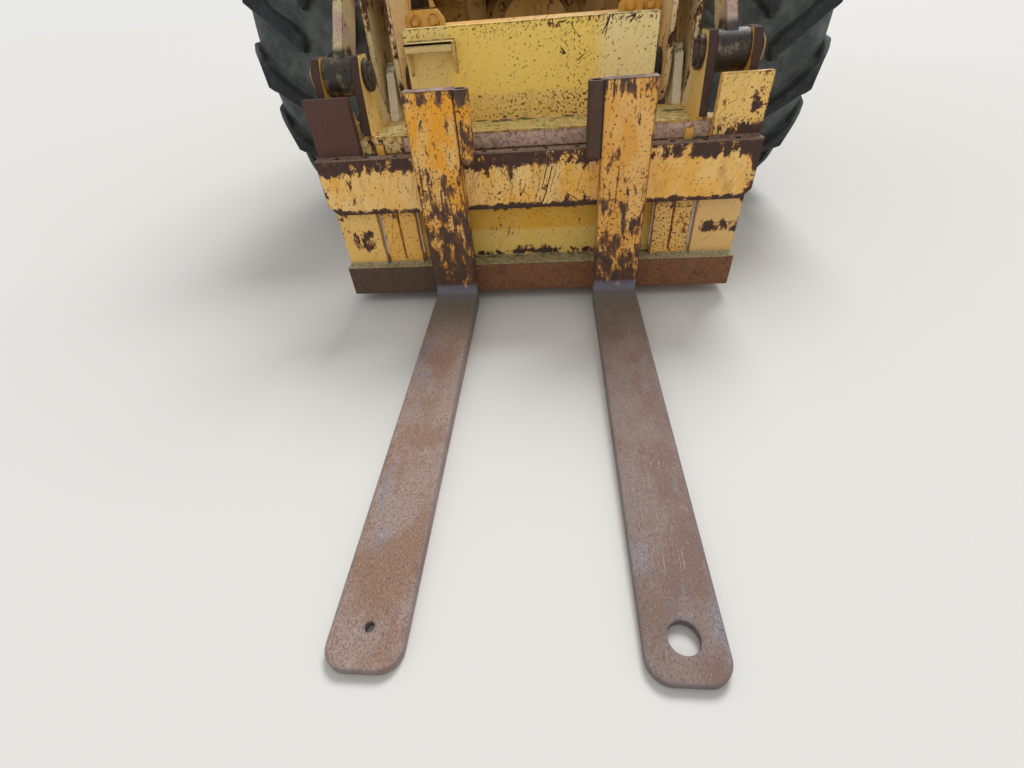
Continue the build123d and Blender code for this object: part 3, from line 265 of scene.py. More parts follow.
def wornEnamel(name, regions=(), **changes):
    look = {**enamel, **changes}
    startMaterial(name)
    rounded = roundedNormal(look["edge"])
    edge = edgeMask(rounded)
    wide = blotches(240, detail=3)
    wear = addNode("Math", wide, look["patches"], look["wear"] - look["patches"] / 2,
                   operation="MULTIPLY_ADD")
    wear = addNode("Math", edge, look["edgeWear"], wear, operation="MULTIPLY_ADD")
    soft = blotches(90, (1, 1, 1.8), detail=5)
    paint = addNode("MixRGB", fade(soft, 0.36, 0.64), look["paint"], look["faded"])
    grime = fade(blotches(45, (1, 1, 2.6), detail=6, roughness=0.7), 0.52, 0.75)
    grime = addNode("Math", grime, look["grime"], operation="MULTIPLY")
    paint = addNode("MixRGB", grime, paint, "#8b6c42")
    specks = look["specks"]
    mossy = look["moss"]
    cover, covered = look["rustDark"], None
    for low, high, feather, change in regions:
        inside = softBox(low, high, feather, change.get("both", False))
        if "rim" in change:
            # only the narrow faces round a plate that stands across x
            turned = facing(0, -0.5, 0.5)
            flat = addNode("Math", turned, 0.5, 0.4, operation="COMPARE")
            flat = addNode("Math", inside, flat, operation="MULTIPLY")
            wear = addNode("Math", flat, change["rim"], wear, operation="MULTIPLY_ADD")
        if "wear" in change:
            wear = addNode("Math", inside, change["wear"], wear, operation="MULTIPLY_ADD")
        if "specks" in change:
            specks = addNode("Math", inside, change["specks"], specks, operation="MULTIPLY_ADD")
        if "scratch" in change:
            # longer cuts, down to the steel
            for turn in ((0, 1.3, 0), (0, -0.7, 0.2), (0, 0.45, 0)):
                cut = blotches(45, (9, 9, 1), detail=1, turn=turn)
                cut = addNode("Math", cut, 0.5, 0.008, operation="COMPARE")
                where = fade(blotches(75, detail=1, turn=turn), 0.56, 0.6)
                cut = addNode("Math", cut, where, operation="MULTIPLY")
                cut = addNode("Math", cut, inside, operation="MULTIPLY")
                wear = addNode("Math", cut, 0.4, wear, operation="MULTIPLY_ADD")
        if "moss" in change:
            mossy = addNode("Math", inside, change["moss"], mossy, operation="MULTIPLY_ADD")
        if "cover" in change:
            # dust or light rust that hides the rest; on the shelf band behind the top bar its tone is also
            # lightened as painted light
            cover = addNode("MixRGB", inside, cover, change["cover"])
            covered = addNode("Math", inside, covered or 0.0, operation="MAXIMUM")
        if "tint" in change:
            share = addNode("Math", inside, change.get("amount", 0.8), operation="MULTIPLY")
            paint = addNode("MixRGB", share, paint, change["tint"])
    colour, bare = flakedPaint(look, wear, specks, paint)
    if covered is not None:
        cloud = fade(blotches(35, detail=5), 0.15, 0.5)
        flecks = fade(blotches(9, detail=5, roughness=0.7), 0.45, 0.62)
        flecks = addNode("Math", flecks, 0.55, operation="MULTIPLY")
        tone = addNode("MixRGB", flecks, cover, look["fleck"])
        share = addNode("Math", covered, cloud, operation="MULTIPLY")
        colour = addNode("MixRGB", share, colour, tone)
    if look["moss"] > 0:
        cushions = blotches(22, detail=6, roughness=0.7)
        level = addNode("Math", mossy, 0.3, cushions, operation="MULTIPLY_ADD")
        green = addNode("Math", facing(2, 0.55, 0.9), fade(level, 0.62, 0.74), operation="MULTIPLY")
        leaf = addNode("MixRGB", fade(cushions, 0.4, 0.65), "#4f5a26", "#8d8a55")
        colour = addNode("MixRGB", green, colour, leaf)
    roughness = addNode("MapRange", {"Value": bare, "To Min": 0.48, "To Max": 0.88})
    grain = blotches(3.5, detail=3)
    skin = addNode("Math", bare, -0.8, grain, operation="MULTIPLY_ADD")
    return closeMaterial(colour, roughness, skin, 0.8, rounded)


# forged steel: painted shank worn through towards the heel, bare rusted blade rubbed by pallets;
# heights and reaches in its masks are in metres
forkLook = {
    "paint": "#efac3c",
    "faded": "#f0c070",
    "rustDark": "#4d372c",
    "rustWarm": "#8a5a32",
    "flakeStretch": (1, 1, 2.6),
    "edge": 10,
    "heel": "#77705f",
    "blade": "#a18b81",
    "bladeWarm": "#93735f",
    "bladeBlue": "#8b8d99",
    "polish": "#7d8090",
    "sleeveX": (165, 218),
    "sleeveWear": 0.1,
    "seam": 0.0,  # more wear below the sleeve
}


def forgedFork(name, **changes):
    look = {**enamel, **forkLook, **changes}
    startMaterial(name)
    rounded = roundedNormal(look["edge"])
    edge = edgeMask(rounded)
    height = addNode("SeparateXYZ", inHand["coords"], output=2)
    reach = addNode("SeparateXYZ", inHand["coords"], output=1)
    wear = addNode("MapRange", {"Value": height, "From Min": 0.14, "From Max": 0.56, "To Min": 0.20,
                                "To Max": 0.035})
    wear = addNode("Math", edge, 0.28, wear, operation="MULTIPLY_ADD")
    if look["seam"]:
        below = fade(height, 0.516, 0.508)
        wear = addNode("Math", below, look["seam"], wear, operation="MULTIPLY_ADD")
    sleeve = softBox((look["sleeveX"][0], -1600, 512), (look["sleeveX"][1], -1400, 730), 3)
    wear = addNode("Math", sleeve, look["sleeveWear"], wear, operation="MULTIPLY_ADD")
    top = fade(height, 0.655, 0.70)
    wear = addNode("Math", top, 0.1, wear, operation="MULTIPLY_ADD")
    streak = blotches(12, (1, 1, 16), detail=3)
    wear = addNode("Math", fade(streak, 0.58, 0.68), 0.12, wear, operation="MULTIPLY_ADD")
    soft = blotches(60, (1, 1, 2), detail=5)
    paint = addNode("MixRGB", fade(soft, 0.4, 0.62), look["paint"], look["faded"])
    shank, bare = flakedPaint(look, wear, 0.045, paint)
    # blade, darker at the heel, bluish where it is rubbed
    start = frontAxle - 1.60
    along = fade(reach, start, start - 0.28)
    warm = fade(blotches(110, (1, 1.6, 1), detail=5), 0.42, 0.6)
    blade = addNode("MixRGB", warm, look["blade"], look["bladeWarm"])
    cool = fade(blotches(70, (1, 4, 1), detail=4), 0.56, 0.66)
    cool = addNode("Math", cool, 0.5, operation="MULTIPLY")
    blade = addNode("MixRGB", cool, blade, look["bladeBlue"])
    blade = addNode("MixRGB", along, look["heel"], blade)
    fine = blotches(3.4, (1, 1.6, 1), detail=4, roughness=0.75)
    blade = addNode("MixRGB", fade(fine, 0.42, 0.7), blade, "#5f4c45")
    pale = fade(blotches(4.2, (1, 1.4, 1), detail=3), 0.60, 0.7)
    pale = addNode("Math", pale, 0.45, operation="MULTIPLY")
    blade = addNode("MixRGB", pale, blade, "#b7a8a3")
    rubbed = blotches(9, (1, 60, 1), detail=2)
    line = addNode("Math", rubbed, 0.5, 0.006, operation="COMPARE")
    gate = fade(blotches(160, detail=2), 0.5, 0.58)
    line = addNode("Math", line, gate, operation="MULTIPLY")
    line = addNode("Math", line, 0.4, operation="MULTIPLY")
    blade = addNode("MixRGB", line, blade, "#b9aeb0")
    rub = addNode("Math", edge, 0.65, operation="MULTIPLY")
    blade = addNode("MixRGB", rub, blade, look["polish"])
    low = fade(height, 0.088, 0.066)
    band = softBox((-500, -1600, 62), (500, -1540, 96), 18)
    colour = addNode("MixRGB", low, shank, blade)
    colour = addNode("MixRGB", addNode("Math", band, 0.55, operation="MULTIPLY"), colour, "#8a8da3")
    lip = facing(2, 0.6, 0.9)
    lip = addNode("Math", lip, fade(height, 0.60, 0.64), operation="MULTIPLY")
    worn = addNode("MixRGB", fade(soft, 0.4, 0.6), "#a58d84", "#6b5148")
    colour = addNode("MixRGB", lip, colour, worn)
    grain = blotches(2.5, detail=4)
    bare = addNode("Math", bare, low, operation="MAXIMUM")
    skin = addNode("Math", bare, -0.7, grain, operation="MULTIPLY_ADD")
    return closeMaterial(colour, 0.66, skin, 0.6, rounded, Metallic=0.1)


# mill scale and rust with no paint left: matt, purple-brown, pitted
def bareRust(name, dark="#43312b", warm="#6d4a34", roughness=0.85):
    startMaterial(name)
    patches = blotches(24, detail=6, roughness=0.7)
    colour = addNode("MixRGB", fade(patches, 0.36, 0.66), dark, warm)
    return closeMaterial(colour, roughness, blotches(4, detail=5), 0.8)


# turned pins and bosses under old grease: dark, half glossy, with a red and green tinge
def greasedSteel(name, dark="#2a2623", middle="#4b4038", worn="#8a7f72"):
    startMaterial(name)
    rounded = roundedNormal(4)
    patches = blotches(30, detail=5, roughness=0.65)
    colour = addNode("MixRGB", fade(patches, 0.42, 0.62), dark, middle)
    red = fade(blotches(42, detail=4), 0.6, 0.68)
    colour = addNode("MixRGB", red, colour, "#6e3a34")
    green = addNode("Math", facing(2, 0.5, 0.95), fade(blotches(26, detail=5), 0.45, 0.6),
                    operation="MULTIPLY")
    colour = addNode("MixRGB", green, colour, "#565a35")
    rub = addNode("Math", edgeMask(rounded), 0.7, operation="MULTIPLY")
    colour = addNode("MixRGB", rub, colour, worn)
    return closeMaterial(colour, 0.5, blotches(6, detail=4), 0.5, rounded, Metallic=0.35)


# hard chrome on a ground rod: mirror-like, with a faint haze round it
def chromedRod(name):
    startMaterial(name)
    rings = blotches(6, (3, 0.3, 0.3), detail=2)
    roughness = addNode("MapRange", {"Value": rings, "To Min": 0.10, "To Max": 0.28})
    return closeMaterial("#c9cbcd", roughness, rings, 0.02, Metallic=1.0)


# weathered carbon-black rubber: dark lug tops, blue-grey dust in the grooves, pale worn corners
def tyreRubber(name, axleY):
    startMaterial(name)
    rounded = roundedNormal(6)
    centred = addNode("VectorMath", inHand["coords"], (0, 1, 1), (0, -axleY, -axleHeight * mm),
                      operation="MULTIPLY_ADD")
    radius = addNode("VectorMath", centred, output="Value", operation="LENGTH")
    crown = fade(radius, 0.700, 0.736)
    dust = blotches(70, detail=6, roughness=0.65)
    fine = blotches(9, detail=5, roughness=0.7)
    groove = addNode("MixRGB", fade(dust, 0.35, 0.66), "#3f4546", "#5f6663")
    lug = addNode("MixRGB", fade(dust, 0.4, 0.7), "#1d2024", "#2f3438")
    colour = addNode("MixRGB", crown, groove, lug)
    grit = addNode("Math", fade(fine, 0.52, 0.72), 0.35, operation="MULTIPLY")
    colour = addNode("MixRGB", grit, colour, "#6a6f6c")
    rub = addNode("Math", edgeMask(rounded), 0.5, operation="MULTIPLY")
    colour = addNode("MixRGB", rub, colour, "#667078")
    return closeMaterial(colour, 0.74, fine, 0.9, rounded)


# a dusty plain finish for castings, grey enamel and moulded plastic; size is the dust's patches in mm
def plainFinish(name, base="#3c3f42", pale="#55585a", roughness=0.6, size=40, relief=0.3, **sockets):
    startMaterial(name)
    rounded = roundedNormal(3)
    dust = blotches(size, detail=5)
    colour = addNode("MixRGB", fade(dust, 0.4, 0.7), base, pale)
    rub = addNode("Math", edgeMask(rounded), 0.3, operation="MULTIPLY")
    colour = addNode("MixRGB", rub, colour, pale)
    return closeMaterial(colour, roughness, blotches(3, detail=3), relief, rounded, **sockets)


# toughened glass: clear and slightly green, with a film of dirt that blurs it in patches
def cabGlass(name):
    startMaterial(name)
    dirt = fade(blotches(120, detail=5), 0.5, 0.85)
    roughness = addNode("MapRange", {"Value": dirt, "To Min": 0.02, "To Max": 0.2})
    return closeMaterial("#e4ece9", roughness, IOR=1.5, Transmission_Weight=1.0)


# woven polyester: dark, with a diagonal rib every 4 mm, coarser than life so that it shows
def wovenSeat(name):
    startMaterial(name)
    thread = addNode("TexWave", {"Vector": inHand["coords"], "Scale": 78.0, "Distortion": 1.0}, output="Fac",
                     wave_type="BANDS", bands_direction="DIAGONAL")
    fluff = blotches(30, detail=4)
    colour = addNode("MixRGB", thread, "#1c1d20", "#303338")
    colour = addNode("MixRGB", fade(fluff, 0.5, 0.8), colour, "#4a4a48")
    return closeMaterial(colour, 0.92, thread, 0.5, Sheen_Weight=0.3)


# moulded polycarbonate lens: fine upright ribs 6 mm apart
def lampLens(name, tint, **sockets):
    startMaterial(name)
    ribs = addNode("TexWave", {"Vector": inHand["coords"], "Scale": 52.0}, output="Fac", bands_direction="X")
    # a pale streak along each rib, at a quarter strength: painted highlight where the ribs catch the light
    colour = addNode("MixRGB", fade(ribs, 0.2, 0.8), tint, "#f2f0ea")
    colour = addNode("MixRGB", 0.75, colour, tint)
    return closeMaterial(colour, 0.12, ribs, 1.2, IOR=1.58, **sockets)


setCamera()
setStudio()
print("camera and light set")

# where the carriage's paint differs from the rest: low corner, high corner and feather in mm on the drawing,
# then what changes there
carriageRegions = [
    # top bar: bare top face, ragged bands under the top edge and along the lower one
    ((-720, -1500, 528), (720, -1460, 540), 3, {"wear": 0.5, "cover": "#8d7464"}),
    ((-720, -1500, 492), (720, -1470, 552), 48, {"wear": 0.34}),
    ((-720, -1500, 330), (720, -1470, 366), 26, {"wear": 0.34}),
    ((-215, -1500, 353), (215, -1470, 533), 30, {"wear": 0.07, "specks": 0.035, "scratch": 1.0}),
    ((690, -1500, 340), (730, -1470, 540), 40, {"wear": 0.26}),
    ((-730, -1500, 400), (-560, -1470, 540), 60, {"wear": 0.03}),
    # tops of the outer uprights: one bare, one pale
    ((-710, -1470, 536), (-555, -1430, 705), 2, {"wear": 0.6, "cover": "#5f4238"}),
    ((555, -1470, 536), (710, -1430, 705), 2, {"tint": "#f2c66e", "specks": 0.04, "wear": -0.03}),
    ((662, -1470, 536), (720, -1430, 705), 50, {"wear": 0.11}),
    ((555, -1470, 520), (720, -1430, 575), 50, {"wear": 0.10}),
    # lower uprights
    ((-710, -1470, 150), (-555, -1430, 356), 2, {"tint": "#f4c46a", "wear": -0.06}),
    ((555, -1470, 150), (710, -1430, 356), 2, {"tint": "#dfb674", "wear": -0.06}),
    ((-672, -1470, 215), (-588, -1430, 275), 56, {"wear": 0.33}),
    ((580, -1470, 232), (720, -1430, 268), 40, {"wear": 0.36}),
    ((-550, -1470, 150), (-415, -1430, 356), 3, {"tint": "#f2b550", "specks": 0.055}),
    ((415, -1470, 150), (550, -1430, 356), 3, {"tint": "#e8b25a", "specks": 0.085, "wear": 0.03}),
    # bottom bar: rusted right through, darker towards its ends, dust and moss on top
    ((-720, -1500, 30), (720, -1370, 149), 5, {"wear": 0.34}),
    ((-720, -1500, 30), (-380, -1370, 149), 60, {"cover": "#78634c"}),
    ((-340, -1500, 30), (720, -1370, 148), 60, {"cover": "#bd7c48"}),
    ((-720, -1500, 149), (720, -1370, 160), 4, {"wear": 0.16, "cover": "#bdb28c"}),
    ((-260, -1500, 149), (260, -1370, 160), 50, {"moss": 0.75}),
]
# what stands behind the bars has its own finish, because one would be too long for the renderer
behindRegions = [
    # bent back sheet: the deep saturated yellow of its forward-facing upper strip is painted shade, the pale
    # yellow of its upward-facing lower strip is painted light, and both are lightened as painted light
    # against the shadow behind the bars
    ((-425, -1430, 250), (425, -1400, 480), 30, {"tint": "#e8ac06", "amount": 0.95, "wear": -0.05}),
    ((-425, -1430, 110), (425, -1400, 250), 16, {"tint": "#efcb68", "amount": 0.9, "wear": -0.02}),
    ((-425, -1430, 325), (425, -1400, 350), 26, {"wear": 0.17}),
    ((-425, -1430, 150), (425, -1400, 172), 20, {"wear": 0.16, "moss": 0.5}),
    ((-80, -1430, 160), (80, -1400, 190), 30, {"wear": 0.2}),
    # shelf band behind the top bar: real rust, with its pale pinkish cover lightened as painted light against
    # the shade the band lies in
    ((-420, -1440, 520), (680, -1425, 576), 10, {"wear": 0.22, "cover": "#d4b5a2"}),
    ((-680, -1440, 520), (-420, -1425, 576), 10, {"wear": 0.06, "tint": "#e6cf8e"}),
    ((-680, -1430, 576), (680, -1175, 586), 3, {"tint": "#e2d08c", "moss": 0.3}),
    # centre plate: cream yellow with pock marks, brown at its foot and along the folded edge; its cream tint
    # is brightened past the paint's own tone as painted light, for the strong light the plate takes
    ((-405, -1275, 560), (405, -1200, 875), 3, {"tint": "#fcd968", "amount": 0.95, "wear": -0.10,
                                                "specks": 0.05}),
    ((-405, -1275, 560), (-265, -1205, 850), 60, {"tint": "#dccb98", "amount": 0.7}),
    ((240, -1275, 560), (405, -1205, 850), 90, {"tint": "#f4e8bc", "amount": 0.9}),
    ((-330, -1275, 560), (330, -1240, 655), 30, {"tint": "#efc777", "specks": 0.08}),
    ((-405, -1275, 822), (405, -1205, 850), 14, {"wear": 0.13}),
    ((100, -1275, 740), (330, -1240, 845), 60, {"scratch": 1.0, "wear": 0.03}),
    # ears, rusty on their edges, and the pale hangers
    ((515, -1445, 585), (550, -1170, 810), 2, {"tint": "#ecd083", "wear": -0.03, "rim": 0.45, "both": True}),
    ((640, -1445, 585), (676, -1170, 810), 2, {"rim": 0.45, "both": True}),
    ((476, -1270, 582), (520, -980, 800), 3, {"tint": "#f2ecd2", "amount": 0.95, "wear": -0.04,
                                               "moss": 0.5, "both": True}),
]
armRegions = [
    ((440, -1240, 540), (560, -940, 960), 120, {"tint": "#f0e6bf", "amount": 0.8, "moss": 0.5, "both": True}),
    ((440, -1240, 560), (560, -900, 1400), 40, {"wear": 0.03, "rim": 0.08, "both": True}),
]
linkRegions = [
    ((535, -1420, 665), (660, -1280, 815), 20, {"cover": "#2b271f", "both": True}),
]

machineEnamel = wornEnamel("machineEnamel", wear=-0.02, specks=0.01, edgeWear=0.14, grime=0.35,
                           faded="#ebb85c")
cabEnamel = wornEnamel("cabEnamel", wear=-0.07, edgeWear=0.10, edge=5, scratches=0.6, grime=0.2,
                       paint="#e0a63c", faded="#e6b051")
dirtyEnamel = wornEnamel("greasyEnamel", paint="#a67c30", faded="#b8924f", wear=0.02, specks=0.03,
                         scratches=0.3)
armEnamel = wornEnamel("armEnamel", armRegions, wear=-0.01, specks=0.015, edgeWear=0.18, moss=0.02)
carriageEnamel = wornEnamel("carriageEnamel", carriageRegions, paint="#f6b84c", faded="#f8ce82", wear=0.0,
                            specks=0.02, moss=0.05, edgeWear=0.16)
behindEnamel = wornEnamel("behindEnamel", behindRegions, wear=0.0, specks=0.02, moss=0.05, edgeWear=0.16)
linkEnamel = wornEnamel("linkEnamel", linkRegions, paint="#cdbd8d", faded="#b99c8c", wear=0.03, specks=0.03)
rimEnamel = wornEnamel("rimEnamel", wear=-0.01, specks=0.02, edge=8, paint="#cf9a45", faded="#d9ae66")
plateEnamel = wornEnamel("creamEnamel", paint="#dfc584", faded="#d6bb74", wear=-0.05, specks=0.02,
                         edgeWear=0.24)
forkRight = forgedFork("wornForkOrange", paint="#f4a92a", sleeveX=(-218, -165), seam=0.05)
forkLeft = forgedFork("wornForkYellow", paint="#eaa848", faded="#f0bb6c", sleeveWear=0.5, blade="#87746d",
                      bladeWarm="#7b6257")
greased = greasedSteel("greasedSteel")
rusted = bareRust("millScaleRust")
chrome = chromedRod("hardChrome")
greyEnamel = plainFinish("greyEnamel")
castIron = plainFinish("castIron", "#2f3133", "#47494a", 0.7, 25, 0.8)
blackPlastic = plainFinish("blackPolypropylene", "#17181a", "#26282b", 0.5, 30, 0.2)
rubberSeal = plainFinish("windowRubber", "#121314", "#1e1f20", 0.7, 20, 0.3)
# near-black finish for the discs that stand for holes: painted shade
holeShadowFinish = plainFinish("holeShadow", "#0d0b0a", "#1a1512", 0.95, 8, 0.2)
zincPlated = plainFinish("zincPlatedSteel", "#7d7566", "#9a917e", 0.45, 15, 0.3, Metallic=0.8)
mirrorGlass = plainFinish("silveredGlass", "#d7dadc", "#c8cbcc", 0.06, 90, 0.0, Metallic=1.0)
glassPane = cabGlass("toughenedGlass")
clearLens = lampLens("clearLens", "#e9ebea", Transmission_Weight=0.6)
redLens = lampLens("redLens", "#a31712")
amberLens = lampLens("amberLens", "#d97a12")
seatCloth = wovenSeat("wovenPolyester")
scaledSteel = bareRust("scaledExhaustSteel", "#3a2f2b", "#66503f", 0.7)
coreFins = plainFinish("coreAluminium", "#3a3a3a", "#54524e", 0.7, 12, 0.5, Metallic=0.4)
tyreFinish = {end: tyreRubber("tyreRubber" + end.title(), sum(c.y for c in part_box("rim_%s_left" % end)) / 2)
              for end in ("front", "rear")}
print("materials made")

finishOf = {}
for finish, names in (
        (carriageEnamel, "fork_carriage"), (forkLeft, "fork_left"), (forkRight, "fork_right"),
        (armEnamel, "lift_arms"), (linkEnamel, "tilt_links"), (coreFins, "radiator"), (seatCloth, "seat"),
        (scaledSteel, "exhaust"), (redLens, "rear_lamps"),
        (castIron, "counterweight engine_block transmission"),
        (glassPane, "cab_glass door_glass_left door_glass_right"),
        (blackPlastic, "steering_column console air_intake lamps mirrors grille headlamps handrails"),
        (cabEnamel, "cab_shell cab_roof cab_door_left cab_door_right front_fenders rear_fenders"),
        (cabEnamel, "hood hood_door_left hood_door_right"),
        (machineEnamel, "front_frame rear_frame bellcranks side_tanks"),
        (dirtyEnamel, "front_axle rear_axle front_drive_shaft rear_drive_shaft")):
    finishOf.update(dict.fromkeys(names.split(), finish))
for name, node in nodes.items():
    finish = finishOf.get(name, greyEnamel)
    if name.startswith("rim_"):
        finish = rimEnamel
    elif name.endswith("pins"):
        finish = greased
    elif "cylinder_rod" in name:
        finish = chrome
    elif "cylinder_barrel" in name:
        finish = machineEnamel
    elif name.startswith("tyre_"):
        finish = tyreFinish[name.split("_")[1]]
    node.data.materials.clear()
    node.data.materials.append(finish)
plates = nodes["fork_carriage"]
plates.data.materials.append(behindEnamel)
for polygon in plates.data.polygons:
    centre = plates.matrix_world @ polygon.center
    depth = (centre.y - frontAxle) / mm
    polygon.material_index = int(depth > -1437 and (centre.z / mm > 152 or depth > -1372))
print("finishes on the frame's own nodes")


# shaping helpers: every piece is drawn in mm, y from the front axle, and brought to the frame at the end
towards = {
    "x": Matrix.Rotation(math.radians(90), 4, "Y"),
    "y": Matrix.Rotation(math.radians(-90), 4, "X"),
    "z": Matrix.Identity(4),
}
bothSides = (-1, 1)
hands = ((1, "left"), (-1, "right"))


def around(count, radius, phase=0):
    # points evenly round a circle, as steps in mm from its middle
    turns = [2 * math.pi * (index + phase) / count for index in range(count)]
    return [(radius * math.cos(turn), radius * math.sin(turn)) for turn in turns]


def join(bm, part, matrix=None):
    bmesh.ops.recalc_face_normals(part, faces=part.faces)
    bmesh.ops.transform(part, matrix=matrix or Matrix.Identity(4), verts=part.verts)
    mesh = bpy.data.meshes.new("part")
    part.to_mesh(mesh)
    part.free()
    bm.from_mesh(mesh)
    bpy.data.meshes.remove(mesh)


def ease(part, edges, size, segments=2):
    bmesh.ops.bevel(part, geom=list(edges), offset=size, segments=segments, profile=0.5, affect="EDGES",
                    material=-1)


def addRound(bm, start, length, radius, axis="x", segments=28, edge=0, endRadius=None):
    # a bar from start along axis; a negative length runs the other way
    part = bmesh.new()
    bmesh.ops.create_cone(part, cap_ends=True, segments=segments, radius1=radius,
                          radius2=radius if endRadius is None else endRadius, depth=abs(length))
    if length < 0 and endRadius is not None:
        bmesh.ops.scale(part, vec=(1, 1, -1), verts=part.verts)
    if edge:
        ease(part, [e for e in part.edges if abs(e.verts[0].co.z - e.verts[1].co.z) < 0.01], edge)
    join(bm, part, Matrix.Translation(start) @ towards[axis] @ Matrix.Translation((0, 0, length / 2)))


def addBlock(bm, low, high, edge=2, turn=None):
    part = bmesh.new()
    bmesh.ops.create_cube(part, size=1)
    bmesh.ops.scale(part, vec=[abs(b - a) for a, b in zip(low, high)], verts=part.verts)
    if edge:
        ease(part, part.edges, edge)
    middle = Matrix.Translation([(a + b) / 2 for a, b in zip(low, high)])
    join(bm, part, middle @ (turn or Matrix.Identity(4)))


def addPlate(bm, outline, axis, start, thick, edge=1.5):
    # a flat plate cut to an outline that lies across axis
    corners = {"x": lambda a, b: (start, a, b), "y": lambda a, b: (a, start, b), "z": lambda a,
               b: (a, b, start)}
    part = bmesh.new()
    face = part.faces.new([part.verts.new(corners[axis](*point)) for point in outline])
    grown = bmesh.ops.extrude_face_region(part, geom=[face])["geom"]
    step = Vector([thick if letter == axis else 0 for letter in "xyz"])
    bmesh.ops.translate(part, vec=step, verts=[g for g in grown if isinstance(g, bmesh.types.BMVert)])
    bmesh.ops.recalc_face_normals(part, faces=part.faces)
    if edge:
        ease(part, part.edges, edge, 1)
    join(bm, part)


def addBolt(bm, at, normal, across=24):
    # washer and hexagon head with its corners eased
    part = bmesh.new()
    bmesh.ops.create_cone(part, cap_ends=True, segments=6, radius1=across * 0.577, radius2=across * 0.577,
                          depth=across * 0.62)
    top = [e for e in part.edges if all(v.co.z > 0 for v in e.verts)]
    ease(part, top, across * 0.07, 1)
    bmesh.ops.translate(part, vec=(0, 0, across * 0.45), verts=part.verts)
    ring = bmesh.ops.create_cone(part, cap_ends=True, segments=18, radius1=across * 0.85,
                                 radius2=across * 0.8, depth=across * 0.16)
    bmesh.ops.translate(part, vec=(0, 0, across * 0.08), verts=ring["verts"])
    turn = Vector(normal).to_track_quat("Z", "Y").to_matrix().to_4x4()
    join(bm, part, Matrix.Translation(at) @ turn)


def addPipe(bm, points, radius, sides=10, closed=False, smooth=True, swell=None):
    # a round bar along points; smooth ones bend before they reach a point
    curve = bpy.data.curves.new("route", "CURVE")
    curve.dimensions = "3D"
    curve.bevel_depth = radius
    curve.bevel_resolution = max(0, sides // 4 - 1)
    curve.use_fill_caps = True
    curve.resolution_u = 5
    spline = curve.splines.new("NURBS" if smooth else "POLY")
    spline.points.add(len(points) - 1)
    for index, point in enumerate(points):
        spline.points[index].co = (*point, 1)
        spline.points[index].radius = swell[index % len(swell)] if swell else 1
    spline.use_cyclic_u = closed
    if smooth:
        spline.order_u = 3
        spline.use_endpoint_u = not closed
    carrier = bpy.data.objects.new("route", curve)
    bpy.context.scene.collection.objects.link(carrier)
    mesh = bpy.data.meshes.new_from_object(carrier)
    part = bmesh.new()
    part.from_mesh(mesh)
    bmesh.ops.remove_doubles(part, verts=part.verts, dist=0.01)
    join(bm, part)
    bpy.data.meshes.remove(mesh)
    bpy.data.objects.remove(carrier)
    bpy.data.curves.remove(curve)


def addWeld(bm, start, end, size=5):
    # a bead with a ripple every few millimetres
    start, end = Vector(start), Vector(end)
    steps = max(2, round((end - start).length / 6))
    points = [start.lerp(end, i / steps) for i in range(steps + 1)]
    addPipe(bm, points, size, sides=8, smooth=False, swell=(1.0, 0.82, 1.08, 0.86))


def makePiece(name, bm, material, body, smooth=40):
    bmesh.ops.transform(bm, matrix=Matrix.Translation((0, frontAxle, 0)) @ Matrix.Scale(mm, 4),
                        verts=bm.verts)
    mesh = bpy.data.meshes.new(name)
    bm.to_mesh(mesh)
    bm.free()
    mesh.shade_smooth()
    mesh.set_sharp_from_angle(angle=math.radians(smooth))
    mesh.materials.append(material)
    piece = bpy.data.objects.new(name, mesh)
    bpy.context.scene.collection.objects.link(piece)
    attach(piece, body)
    return piece


# tyres, with rounded lugs that run over the shoulders
tyre = {
    "half": 272,
    "radius": 745,
    "lugs": 16,  # on each side
    "lugHalf": 52,  # half its width on top, at the shoulder
    "lugInner": 38,  # the same near the middle
    "draft": 20,  # how much wider each flank is at its foot
    "lean": 0.95,  # mm back for each mm out
    "middleGap": 4,
    "nose": 0.16,  # share of its length that is rounded at the middle
    "waist": 7,
    "bow": 22,
    "root": 14,  # how deep its foot stands in the carcass
    "lugEdge": 12,
    "firstLug": -0.30,  # of a pitch
    "shoulder": 208,
    "spinSteps": 96,
    "profile": [(204, 322), (228, 346), (236, 372), (247, 395), (262, 440), (270, 500), (268, 560),
                (259, 575), (262, 590), (252, 628), (232, 662), (204, 686), (168, 698), (110, 704),
                (40, 706)],  # mm out from the middle, and radius
}


def crownRadius(x):
    over = max(0.0, x - tyre["shoulder"]) / (tyre["half"] - tyre["shoulder"])
    return tyre["radius"] - 4 * (x / tyre["shoulder"]) ** 2 * (1 - over) - 96 * over ** 1.5


def carcassRadius(x):
    points = tyre["profile"][:5:-1]
    for (x0, r0), (x1, r1) in zip(points, points[1:]):
        if x <= x1:
            return r0 + (r1 - r0) * max(0.0, x - x0) / (x1 - x0)
    return points[-1][1]


